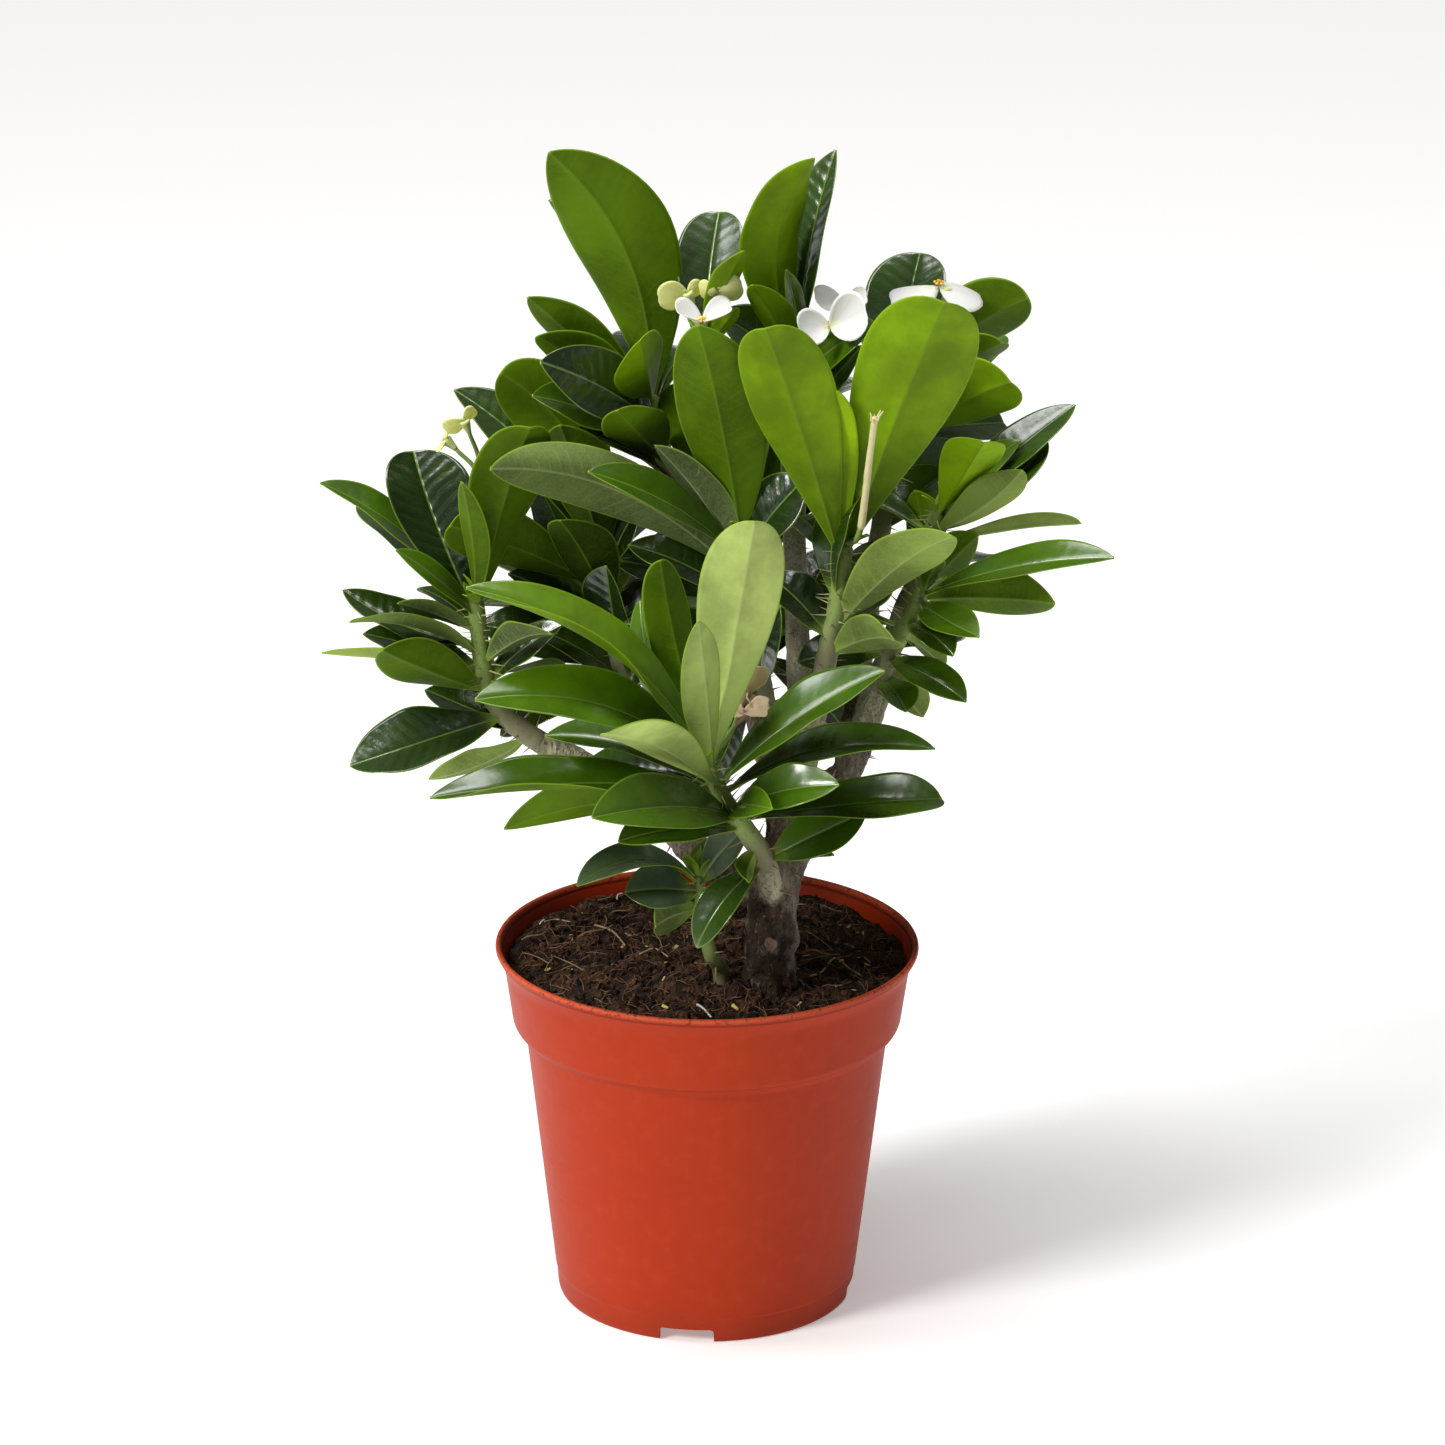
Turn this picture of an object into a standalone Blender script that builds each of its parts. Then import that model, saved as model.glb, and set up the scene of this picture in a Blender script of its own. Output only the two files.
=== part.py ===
# A potted crown of thorns: a branching, spiny plant with big leathery leaves
# and a few pale blooms, in a plain turned plastic pot filled with peat.
# Metres, +Z up. The origin is on the floor, on the pot's axis.
import math
import random

import bmesh
import bpy
from mathutils import Matrix, Vector
from mathutils.bvhtree import BVHTree

mm = 0.001
gap = 0.35 * mm  # clearance between pieces that stand on each other

# pot
rimRadius = 85 * mm
potHeight = 149 * mm
wall = 1.5 * mm
lipBand = 8 * mm  # height of the flared lip
bandTopRadius = 81.4 * mm
bandFootRadius = 78 * mm
bandFoot = 116 * mm  # height of the band's lower edge
shoulderRadius = 73 * mm
baseRadius = 60 * mm
floorHeight = 6.5 * mm
footWidth = 3.4 * mm
innerStep = bandFoot - 1 * mm  # where the inside steps out behind the shoulder
innerStepRise = 4.5 * mm
stepHeight = 10 * mm  # faint moulded line above the foot
potSides = 36
notchWidth = 22 * mm
notchHeight = 5.6 * mm
notchTurn = math.radians(-97.2)
notchCount = 4
drainRadius = 5 * mm
drainRing = 38 * mm
drainCount = 6

# soil
soilEdge = 142.5 * mm
soilMound = 3 * mm
soilLumps = 1.1 * mm
soilSides = 28
soilRings = 4

# plant
buriedTo = 96 * mm
trunkRadius = 11 * mm
suckerBuriedTo = 118 * mm
suckerRadius = 3.4 * mm
bladeMiddle = 1.05 * mm
bladeEdge = 0.65 * mm
petioleWidth = 2.6 * mm
petioleThick = 1.9 * mm
leafStations = (0, 0.25, 0.55, 0.85, 1)
smallStations = (0, 0.38, 0.8, 1)
smallWidth = 24  # mm
# Outlines: how slowly each widens, and how bluntly it ends.
leafForms = {"oval": (1.2, 0.78), "spoon": (1.35, 0.5)}
foldAngle = math.radians(13)
limbSteps = 2
woodSides, stemSides, stalkSides = 6, 6, 4
spineLength = 7 * mm
woodSpineSpacing = 20 * mm
stemSpineSpacing = 11 * mm
spineRadius = 0.75 * mm
bractThick = 0.7 * mm
# How far the leaves behind reach from the pot's axis, to the sides and back.
crownSide, crownDepth = 140 * mm, 129 * mm
seed = 4

# The plant was measured from one standing point: in front, looking down.
# Places on it are given as that view's pixels, and how far back in mm.
viewEye = Vector((5.7, -2329, 1062)) * mm
viewDown = math.radians(19.4)
viewRoll = math.radians(0.3)
viewFocal = 6235
viewMiddle = 722.5


def viewAxes():
    right = Vector((1, 0, 0))
    ahead = Vector((0, math.cos(viewDown), -math.sin(viewDown)))
    up = right.cross(ahead)
    turn = Matrix.Rotation(-viewRoll, 3, ahead)
    return turn @ right, turn @ up, ahead


def seenRay(px, py):
    right, up, ahead = viewAxes()
    return ahead * viewFocal + right * (px - viewMiddle) - up * (py - viewMiddle)


def seen(px, py, back):
    ray = seenRay(px, py)
    return viewEye + ray * ((back * mm - viewEye.y) / ray.y)


def grounded(px, py, height):
    ray = seenRay(px, py)
    return viewEye + ray * ((height - viewEye.z) / ray.z)


# Each limb: its woody part, then its leafy tip, as (pixel, pixel, mm back).
# The first point is sunk in what it grows from.
woodGirth = 5.2 * mm
stemGirth = (4.6 * mm, 3.3 * mm)
mainWood = {
    "bole": ((11, 8.2), [(769, 935, -41), (774, 895, -37), (784, 855, -31), (792, 812, -26)]),
    "left_bough": ((7.5, 6.3), [(774, 902, -38), (738, 880, -30), (700, 853, -22), (670, 823, -13)]),
    "right_bough": ((6.8, 5.4), [(788, 832, -28), (815, 797, -16), (848, 768, -6), (868, 712, 0)]),
    "upper_bough": ((6.8, 5.2), [(789, 830, -24), (768, 745, 2), (738, 650, 14), (718, 568, 18)]),
}
limbs = {
    "front_low": (
        [(775, 905, -38), (770, 885, -45), (766, 866, -49)],
        [(766, 866, -49), (760, 850, -52), (745, 829, -56), (727, 805, -60), (708, 768, -63)],
    ),
    "right_low": (
        [(862, 735, -2), (868, 708, 0), (874, 690, 1)],
        [(874, 690, 1), (888, 655, 5), (912, 615, 8), (922, 592, 10)],
    ),
    "right_mid": (
        [(856, 752, -3), (876, 700, 15), (893, 640, 22)],
        [(893, 640, 22), (918, 575, 26), (937, 515, 28)],
    ),
    "back_right": (
        [(845, 772, -7), (856, 700, 25), (868, 610, 40)],
        [(868, 610, 40), (885, 500, 48), (895, 405, 52)],
    ),
    "centre_right": (
        [(791, 825, -27), (806, 760, -30), (820, 690, -27)],
        [(820, 690, -27), (835, 620, -24), (845, 548, -20)],
    ),
    "centre": (
        [(788, 832, -27), (778, 770, -24), (764, 705, -16)],
        [(764, 705, -16), (752, 625, -10), (742, 540, -5)],
    ),
    "top_right": (
        [(792, 822, -22), (801, 740, 2), (797, 620, 16), (794, 520, 24)],
        [(794, 520, 24), (796, 430, 30), (800, 342, 32)],
    ),
    "top_centre": (
        [(730, 612, 16), (716, 560, 18), (710, 500, 19)],
        [(710, 500, 19), (704, 420, 20), (706, 340, 18)],
    ),
    "upper_left": (
        [(728, 610, 17), (708, 560, 22), (686, 510, 27)],
        [(686, 510, 27), (662, 450, 29), (650, 398, 30)],
    ),
    "left": (
        [(682, 836, -17), (625, 790, -8), (575, 758, -4), (540, 742, -2)],
        [(540, 742, -2), (500, 710, 0), (484, 670, 0), (476, 604, 0)],
    ),
    "centre_left": (
        [(678, 830, -16), (650, 770, 4), (630, 700, 14)],
        [(630, 700, 14), (614, 630, 20), (604, 560, 22)],
    ),
    "back_left": (
        [(690, 845, -19), (655, 770, 24), (620, 690, 44)],
        [(620, 690, 44), (585, 610, 58), (562, 540, 62)],
    ),
    "back": (
        [(786, 838, -27), (775, 765, 22), (762, 690, 46)],
        [(762, 690, 46), (748, 600, 62), (740, 520, 68)],
    ),
}
trunkFoot = (769, 990)
suckerFoot = (721, 988)
suckerPath = [(711, 955, -44), (703, 922, -42), (699, 878, -40)]

# Leaves of each head: tip pixel, tip pixel, mm back, how far along the leafy
# tip they sprout, width in mm, share of it seen from the front (below 0 where
# the underside shows) and arch. Some end in a twist in degrees and a bow to the
# leaf's right, as a share of its length.
leaves = {
    "front_low": [
        (755, 521, -80, 0.97, 33, -0.96, 0.05, "spoon"),
        (698, 621, -92, 0.95, 20, -0.8, 0.05),
        (466, 588, -78, 0.95, 25, 0.62, 0.08, 0, 0.06),
        (475, 700, -92, 0.9, 31, 0.62, 0.08, 0, 0.07),
        (607, 733, -130, 0.88, 25, -0.65, 0.12),
        (430, 798, -88, 0.84, 26, 0.62, 0.1, 0, -0.04),
        (885, 671, -60, 0.88, 29, 0.55, 0.06),
        (935, 749, -52, 0.82, 28, 0.46, 0.1, 0, -0.01),
        (839, 785, -84, 0.68, 20, 0.8, 0.1),
        (942, 799, -42, 0.6, 28, 0.62, 0.1, 0, 0.06, "spoon"),
        (866, 812, -62, 0.08, 22, 0.9, 0.06, 0, 0.02),
        (592, 818, -118, 0.6, 30, 0.7, 0.12, 0, -0.03),
        (504, 829, -70, 0.7, 30, -0.55, 0.1),
        (618, 842, -72, 0.5, 27, 0.6, 0.12, 0, -0.04),
        (545, 736, -58, 0.84, 27, 0.5, 0.1),
        (772, 809, -94, 0.66, 15, 0.75, 0.1),
        (660, 560, -52, 0.96, 20, -0.9, 0.05, "spoon"),
        (641, 600, -46, 0.93, 15, 0.5, 0.05, "spoon"),
        (697, 948, -66, 0.04, 17, 0.85, 0.15),
        (746, 880, -60, 0.3, 10, -0.8, 0.1),
        (580, 768, -30, 0.85, 24, 0.7, 0.08),
        (834, 855, -44, 0.12, 11, 0.6, 0.08),
    ],
    "centre_right": [
        (765, 328, -48, 0.86, 35, -0.97, 0.04, "spoon"),
        (945, 302, -46, 0.9, 44, -0.98, 0.05, "spoon"),
        (826, 387, -32, 0.95, 18, -0.88, 0.04, "spoon"),
        (953, 536, -58, 0.4, 27, -0.8, 0.1),
        (895, 640, -60, 0.25, 21, -0.75, 0.1),
        (768, 575, -16, 0.35, 24, 0.7, 0.06),
        (872, 470, -8, 0.6, 22, 0.6, 0.06),
        (892, 588, -30, 0.3, 20, 0.6, 0.08),
    ],
    "centre": [
        (698, 325, -38, 0.95, 36, -0.95, 0.04),
        (588, 472, -28, 0.85, 25, 0.5, 0.08),
        (490, 469, -42, 0.75, 27, -0.6, 0.1, 35, 0.04),
        (737, 412, -18, 0.97, 29, -0.9, 0.05, "spoon"),
        (806, 478, -20, 0.9, 26, 0.8, 0.06),
        (655, 445, -12, 0.8, 24, -0.7, 0.06),
        (628, 545, 0, 0.6, 24, 0.65, 0.08),
        (780, 606, -34, 0.12, 22, 0.7, 0.06),
        (622, 625, -8, 0.3, 22, 0.6, 0.08),
        (690, 800, -30, 0.16, 22, 0.7, 0.08),
        (772, 425, 8, 0.75, 24, 0.75, 0.06),
    ],
    "top_centre": [
        (719, 212, 48, 0.8, 27, 0.95, 0.08, "spoon"),
        (743, 251, 12, 0.97, 13, -0.8, 0.05),
        (674, 384, 14, 0.08, 26, -0.8, 0.05, 0, -0.03),
        (738, 308, -4, 0.93, 8, -0.9, 0.05),
    ],
    "top_right": [
        (814, 158, 12, 0.93, 33, -0.7, 0.04, 0, -0.11),
        (836, 150, 46, 0.96, 25, 0.6, 0.05),
        (752, 285, 0, 0.85, 16, -0.85, 0.05),
        (786, 270, 22, 0.97, 9, 0.8, 0.05),
        (718, 314, 22, 0.8, 24, 0.75, 0.06),
        (876, 324, 6, 0.75, 22, 0.7, 0.08),
        (862, 346, 20, 0.5, 17, 0.7, 0.08, 0, 0.04),
        (768, 428, 18, 0.2, 22, 0.65, 0.06),
        (822, 548, 10, 0.02, 20, 0.7, 0.05),
    ],
    "upper_left": [
        (549, 152, 12, 0.94, 41, -0.96, 0.05, 0, 0.1),
        (549, 200, 50, 0.88, 28, 0.7, 0.06, 0, 0.08),
        (528, 297, 14, 0.84, 23, -0.75, 0.06, 0, -0.02),
        (537, 336, 8, 0.78, 26, -0.7, 0.08, 0, -0.02),
        (540, 362, -4, 0.7, 29, 0.85, 0.1),
        (574, 366, 2, 0.76, 12, -0.6, 0.06),
        (640, 340, -6, 0.94, 26, -0.9, 0.05),
        (617, 410, -16, 0.4, 25, -0.9, 0.06),
        (532, 396, 14, 0.45, 26, 0.6, 0.08, 0, 0.05),
        (575, 432, -2, 0.2, 24, 0.55, 0.08),
    ],
    "centre_left": [
        (560, 425, 4, 0.97, 30, -0.92, 0.05),
        (450, 525, -10, 0.8, 27, -0.88, 0.1, "spoon"),
        (454, 390, 46, 0.94, 29, 0.75, 0.08, 0, 0.07),
        (500, 373, 16, 0.97, 30, -0.95, 0.05, 0, 0.14, "spoon"),
        (560, 520, -14, 0.6, 26, -0.85, 0.06),
        (640, 505, 2, 0.85, 20, 0.6, 0.06),
        (508, 574, 6, 0.4, 22, 0.6, 0.08),
        (606, 566, -2, 0.35, 23, 0.7, 0.06),
        (664, 590, 18, 0.5, 22, 0.7, 0.06),
        (664, 622, -6, 0.04, 22, 0.65, 0.06),
        (530, 628, 8, 0.1, 24, 0.6, 0.08),
        (500, 735, 22, 0.14, 24, 0.7, 0.08),
    ],
    "left": [
        (413, 451, 32, 0.94, 35, 0.93, 0.06, 0, -0.05, "spoon"),
        (320, 483, 12, 0.95, 22, 0.5, -0.06, 0, 0.18),
        (530, 427, -18, 0.95, 31, -0.9, 0.05, "spoon"),
        (462, 482, -4, 0.97, 14, -0.75, 0.04),
        (396, 550, -14, 0.93, 12, 0.7, 0.05),
        (343, 590, 10, 0.8, 22, 0.6, 0.06, 0, -0.12),
        (418, 588, 24, 0.86, 15, 0.6, 0.08),
        (350, 622, -28, 0.74, 19, -0.6, 0.08),
        (398, 603, -20, 0.86, 10, -0.7, 0.05),
        (552, 634, -40, 0.7, 18, -0.6, 0.08),
        (562, 625, -12, 0.55, 16, 0.7, 0.08),
        (322, 653, 20, 0.62, 10, -0.4, 0.04, 0, -0.01),
        (363, 634, 2, 0.66, 21, 0.6, 0.08, 0, -0.04),
        (382, 650, -36, 0.5, 25, -0.78, 0.08, 0, -0.06),
        (350, 766, -20, 0.28, 30, 0.78, 0.1, 0, -0.06),
        (429, 779, 16, 0.08, 15, -0.6, 0.06, 0, -0.1),
        (425, 690, 12, 0.1, 20, 0.7, 0.06),
    ],
    "right_low": [
        (1114, 558, -26, 0.93, 21, 0.55, 0.08, 0, 0.02),
        (1055, 603, -30, 0.9, 24, -0.75, 0.06, 0, 0.015),
        (979, 637, -26, 0.85, 18, 0.8, 0.08, 0, 0.07),
        (953, 656, -18, 0.6, 15, 0.8, 0.1),
        (944, 668, 16, 0.5, 12, -0.6, 0.08),
        (966, 702, -24, 0.3, 18, 0.75, 0.12, 0, 0.04),
        (921, 700, 22, 0.2, 10, -0.6, 0.08),
        (923, 717, 24, 0.1, 18, -0.7, 0.08),
        (906, 712, 4, 0.12, 18, 0.7, 0.1),
        (940, 560, -16, 0.97, 9, -0.9, 0.05),
        (978, 535, 24, 0.94, 19, -0.85, 0.06),
        (778, 748, 20, 0.18, 22, 0.7, 0.06),
        (798, 662, 12, 0.35, 22, 0.75, 0.06),
    ],
    "right_mid": [
        (1075, 405, 56, 0.95, 22, 0.7, 0.06, 0, 0.03),
        (1047, 440, 36, 0.9, 24, 0.75, 0.06, 0, 0.09),
        (1020, 440, 52, 0.92, 17, 0.7, 0.06),
        (1022, 470, 2, 0.85, 20, -0.75, 0.05, 0, 0.08),
        (1081, 523, -6, 0.75, 15, -0.4, 0.06, 0, 0.08, "spoon"),
        (984, 442, -10, 0.97, 24, -0.9, 0.05, 0, 0.02, "spoon"),
        (915, 490, 34, 0.5, 20, -0.8, 0.06),
    ],
    "back_right": [
        (920, 253, 76, 0.9, 34, 0.92, 0.06, 0, 0, "spoon"),
        (1029, 298, 46, 0.94, 30, -0.85, 0.08, 0, -0.06, "spoon"),
        (1003, 342, 30, 0.88, 22, -0.7, 0.08, "spoon"),
        (1011, 382, 22, 0.8, 30, -0.88, 0.06, "spoon"),
        (1004, 423, 66, 0.85, 24, 0.75, 0.08, 0, 0.04, "spoon"),
        (950, 470, 58, 0.35, 24, 0.75, 0.06),
    ],
    "back_left": [
        (530, 470, 58, 0.6, 26, 0.8, 0.06),
        (480, 625, 50, 0.14, 28, 0.75, 0.06),
        (640, 560, 48, 0.3, 24, -0.8, 0.06),
    ],
    "back": [
        (612, 560, 54, 0.5, 28, 0.75, 0.06),
        (792, 585, 34, 0.14, 24, -0.8, 0.06),
        (836, 548, 50, 0.12, 26, 0.8, 0.06),
        (715, 795, 34, 0.2, 22, 0.8, 0.06),
        (850, 738, 44, 0.2, 20, 0.75, 0.08),
    ],
}
suckerLeaves = [
    (577, 886, -62, 0.96, 20, 0.5, 0.16, 0, 0.05),
    (625, 893, -52, 0.88, 21, 0.85, 0.1),
    (655, 926, -66, 0.78, 18, -0.8, 0.1),
    (712, 838, -34, 0.97, 12, -0.8, 0.05),
    (748, 826, -30, 0.95, 18, 0.8, 0.06),
]
# Leaves out of sight from the front: how many each head has behind it.
rearLeaves = {
    "right_low": 3, "right_mid": 3, "back_right": 4, "centre_right": 1, "top_right": 3,
    "top_centre": 1, "upper_left": 3, "left": 3, "centre_left": 2, "back_left": 8, "back": 11,
}
rearmost = ("back_left", "back")
rearSpread, rearmostSpread = 55, 88  # degrees to either side of straight back
rearRise = (-8, 26)  # degrees
rearShare = (0.3, 0.96)
rearLength, rearWidth = (62, 88), (22, 30)  # mm
rearArch = 0.08


def smoothPath(points, steps):
    ends = [points[0] * 2 - points[1], *points, points[-1] * 2 - points[-2]]
    path = []
    for a, b, c, d in zip(ends, ends[1:], ends[2:], ends[3:]):
        for i in range(steps):
            t = i / steps
            path.append(
                0.5 * (2 * b + (c - a) * t + (2 * a - 5 * b + 4 * c - d) * t**2
                       + (3 * b - a - 3 * c + d) * t**3)
            )
    return [*path, points[-1]]


def alongPath(path, share):
    place = share * (len(path) - 1)
    i = min(int(place), len(path) - 2)
    return path[i].lerp(path[i + 1], place - i), (path[i + 1] - path[i]).normalized()


def tube(path, girths, sides, starting=None, ending=None):
    verts, faces = [], []
    side = Vector((1, 0, 0))
    last = len(path) - 1
    for i, point in enumerate(path):
        along = (path[min(i + 1, last)] - path[max(i - 1, 0)]).normalized()
        if i == 0 and starting:
            along = starting
        if i == last and ending:
            along = ending
        side = (side - along * side.dot(along)).normalized()
        other = along.cross(side)
        radius = girths[0] + (girths[1] - girths[0]) * i / last
        for k in range(sides):
            turn = 2 * math.pi * k / sides
            verts.append(point + (side * math.cos(turn) + other * math.sin(turn)) * radius)
    for i in range(last):
        for k in range(sides):
            a, b = i * sides + k, i * sides + (k + 1) % sides
            faces.append((a, b, b + sides, a + sides))
    faces.append(tuple(reversed(range(sides))))
    faces.append(tuple(range(last * sides, (last + 1) * sides)))
    return verts, faces


# One blade: where it sprouts, where it ends and how it lies between.
class Leaf:
    def __init__(self, root, axis, tip, width, shown, roll, arch, twist=0, bow=0, form="oval"):
        self.root, self.tip, self.width, self.form = root, tip, width, form
        self.chord = tip - root
        self.length = self.chord.length
        self.ahead = self.chord.normalized()
        upper = (axis - self.ahead * axis.dot(self.ahead)).normalized()
        view = viewEye - root
        view = (view - self.ahead * view.dot(self.ahead)).normalized()
        self.aside = self.ahead.cross(view) * self.length * bow
        if shown is not None:
            # Of the two ways to show that share of the blade, the more natural one.
            ways = [
                Matrix.Rotation(side * math.acos(shown), 3, self.ahead) @ view
                for side in (1, -1)
            ]
            upper = max(ways, key=upper.dot)
        self.upper = Matrix.Rotation(math.radians(roll), 3, self.ahead) @ upper
        self.arch, self.twist = arch, math.radians(twist)
        self.stations = leafStations if width >= smallWidth else smallStations

    def outline(self, s):
        swell, blunt = leafForms[self.form]
        peak = swell / (swell + blunt)
        shape = (s / peak) ** swell * ((1 - s) / (1 - peak)) ** blunt if 0 < s < 1 else 0
        return 0.5 * max(petioleWidth * (1 - 0.45 * s), self.width * mm * shape)

    def frame(self, s):
        bow = self.upper * self.length * self.arch + self.aside
        point = self.root + self.chord * s + bow * 4 * s * (1 - s)
        along = (self.chord + bow * 4 * (1 - 2 * s)).normalized()
        side = along.cross(self.upper).normalized()
        turn = Matrix.Rotation(self.twist * s, 3, along)
        return point, turn @ side, turn @ side.cross(along)

    def mesh(self, extra=0, start=0):
        verts, faces = [], []
        stations = [start, *(s for s in self.stations if s > start)]
        for s in stations:
            point, side, upper = self.frame(s)
            half = self.outline(s)
            sunk = s == 0
            middle = petioleThick if sunk else bladeMiddle
            edge = petioleThick * 0.8 if sunk else bladeEdge
            for face in (1, -1):
                for u in (-1, 0, 1) if face > 0 else (1, 0, -1):
                    lift = half * math.sin(foldAngle) * abs(u)
                    thick = (edge if u else middle) + extra
                    verts.append(point + side * (u * half) + upper * (lift + face * thick / 2))
        for i in range(len(stations) - 1):
            for k in range(6):
                a, b = i * 6 + k, i * 6 + (k + 1) % 6
                if k in (0, 3):
                    faces += [(a, a + 6, b), (b, a + 6, b + 6)]
                else:
                    faces += [(a, b + 6, b), (a, a + 6, b + 6)]
        end = (len(stations) - 1) * 6
        faces += [(0, 1, 5), (1, 4, 5), (1, 2, 4), (2, 3, 4)]
        faces += [(end, end + 5, end + 1), (end + 1, end + 5, end + 4)]
        faces += [(end + 1, end + 4, end + 2), (end + 2, end + 4, end + 3)]
        return verts, faces


# A solid that others have to stay clear of.
class Placed:
    def __init__(self, owner, shape, outer=None):
        self.owner = owner
        self.shape = shape
        self.tree = BVHTree.FromPolygons(*shape)
        self.outer = BVHTree.FromPolygons(*outer) if outer else self.tree
        self.low = [min(v[i] for v in shape[0]) for i in range(3)]
        self.high = [max(v[i] for v in shape[0]) for i in range(3)]

    def near(self, other):
        return all(self.low[i] < other.high[i] and other.low[i] < self.high[i] for i in range(3))

    def crosses(self, other):
        if not self.near(other):
            return False
        if self.owner == other.owner:
            return bool(self.outer.overlap(other.outer))
        return bool(self.tree.overlap(other.tree))


# What would cross another piece is bent clear: the mildest bend comes first.
bends = sorted(
    (
        (back, roll, arch)
        for back in (0, 5, -5, 10, -10, 16, -16, 24, -24, 34, -34)
        for roll in (0, 12, -12, 24, -24, 40, -40)
        for arch in (0, 0.06, -0.06, 0.12)
    ),
    key=lambda bend: abs(bend[0]) / 8 + abs(bend[1]) / 12 + abs(bend[2]) / 0.05,
)


def bentLeaf(path, row, bend):
    px, py, back, share, width, shown, arch, *more = row
    form = more.pop() if more and more[-1] in leafForms else "oval"
    twist, bow = more or (0, 0)
    root, axis = alongPath(path, share)
    tip = seen(px, py, back + bend[0])
    return Leaf(root, axis, tip, width, shown, bend[1], arch + bend[2], twist, bow, form)


def settle(owner, makeLeaf, placed):
    for bend in bends:
        leaf = makeLeaf(bend)
        trial = Placed(owner, leaf.mesh(0.7 * mm), leaf.mesh(0.5 * mm, 0.3))
        if not any(trial.crosses(other) for other in placed):
            placed.append(trial)
            return leaf
    return None


def rearLeaf(path, draws, bend):
    turn, rise, share, length, width, form = draws
    root, axis = alongPath(path, share)
    flat = Vector((math.cos(turn), math.sin(turn), 0))
    reach = flat * math.cos(rise) + Vector((0, 0, math.sin(rise)))
    tip = root + reach * length + Vector((0, bend[0] * mm, 0.4 * bend[0] * mm))
    tip.x = max(-crownSide, min(tip.x, crownSide))
    tip.y = min(tip.y, crownDepth)
    return Leaf(root, axis, tip, width, None, bend[1], rearArch + bend[2], form=form)


def spine(root, aim, length):
    side = aim.orthogonal().normalized()
    other = aim.cross(side)
    verts = [root + aim * length]
    for k in range(3):
        turn = 2 * math.pi * k / 3
        verts.append(root + (side * math.cos(turn) + other * math.sin(turn)) * spineRadius)
    return verts, [(0, 1, 2), (0, 2, 3), (0, 3, 1), (1, 3, 2)]


def spinesAlong(owner, path, girths, spacing, placed, rng):
    reach = sum((b - a).length for a, b in zip(path, path[1:]))
    found = []
    count = int(reach / spacing)
    for k in range(count):
        share = (k + 0.6) / (count + 0.2)
        point, axis = alongPath(path, share)
        radius = girths[0] + (girths[1] - girths[0]) * share
        out = Matrix.Rotation(k * 2.4 + rng.uniform(-0.4, 0.4), 3, axis) @ axis.orthogonal()
        aim = (out.normalized() + axis * rng.uniform(-0.1, 0.35)).normalized()
        length = spineLength * rng.uniform(0.8, 1.15)
        shape = spine(point + aim * (radius - 1.6 * mm), aim, length + 1.6 * mm)
        trial = Placed(owner, spine(point + aim * radius * 1.15, aim, length + 0.5 * mm))
        if not any(trial.crosses(other) for other in placed if other.owner != owner):
            found.append(shape)
    return found


# One flower: a cup on its stalk, and two broad bracts joined across the cup.
def cyathium(foot, up, across, facing, size, cupping):
    across = (across - facing * across.dot(facing)).normalized()
    level = (across - up * across.dot(up)).normalized()
    centre = foot + up * cupHeight
    verts, rings = [], []

    def ring(middle, side, other, count, radiusAt, liftAt):
        rings.append(range(len(verts), len(verts) + count))
        for k in range(count):
            turn = 2 * math.pi * k / count
            radius = radiusAt(turn)
            flat = side * math.cos(turn) + other * math.sin(turn)
            verts.append(middle + flat * radius + facing * liftAt(turn, radius))

    def lobed(turn):
        return size * (0.42 + 0.58 * abs(math.cos(turn)) ** 1.2)

    def lifted(face):
        half = face * bractThick / 2
        return lambda turn, radius: cupping * radius * abs(math.cos(turn)) + half

    other, aside = facing.cross(across), up.cross(level)
    ring(centre, across, other, cupSides, lambda turn: cupRadius, lambda turn, radius: cupRise)
    ring(centre, across, other, 2 * cupSides, lobed, lifted(1))
    ring(centre, across, other, 2 * cupSides, lobed, lifted(-1))
    ring(centre, across, other, cupSides, lambda turn: cupRadius, lambda turn, radius: -cupRise)
    ring(foot, level, aside, cupSides, lambda turn: cupFoot, lambda turn, radius: 0)
    top, upper, lower, under, base = rings
    n = cupSides
    faces = [tuple(top), tuple(reversed(base))]
    for k in range(n):
        m, a, b, c = (k + 1) % n, 2 * k, 2 * k + 1, (2 * k + 2) % (2 * n)
        for hub, rim in ((top, upper), (under, lower)):
            faces += [(hub[k], rim[a], rim[b]), (hub[k], rim[b], hub[m]), (hub[m], rim[b], rim[c])]
        faces += [(upper[a], lower[a], lower[b]), (upper[a], lower[b], upper[b])]
        faces += [(upper[b], lower[b], lower[c]), (upper[b], lower[c], upper[c])]
        faces += [(under[k], base[k], base[m]), (under[k], base[m], under[m])]
    return [(verts, faces)]


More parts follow.
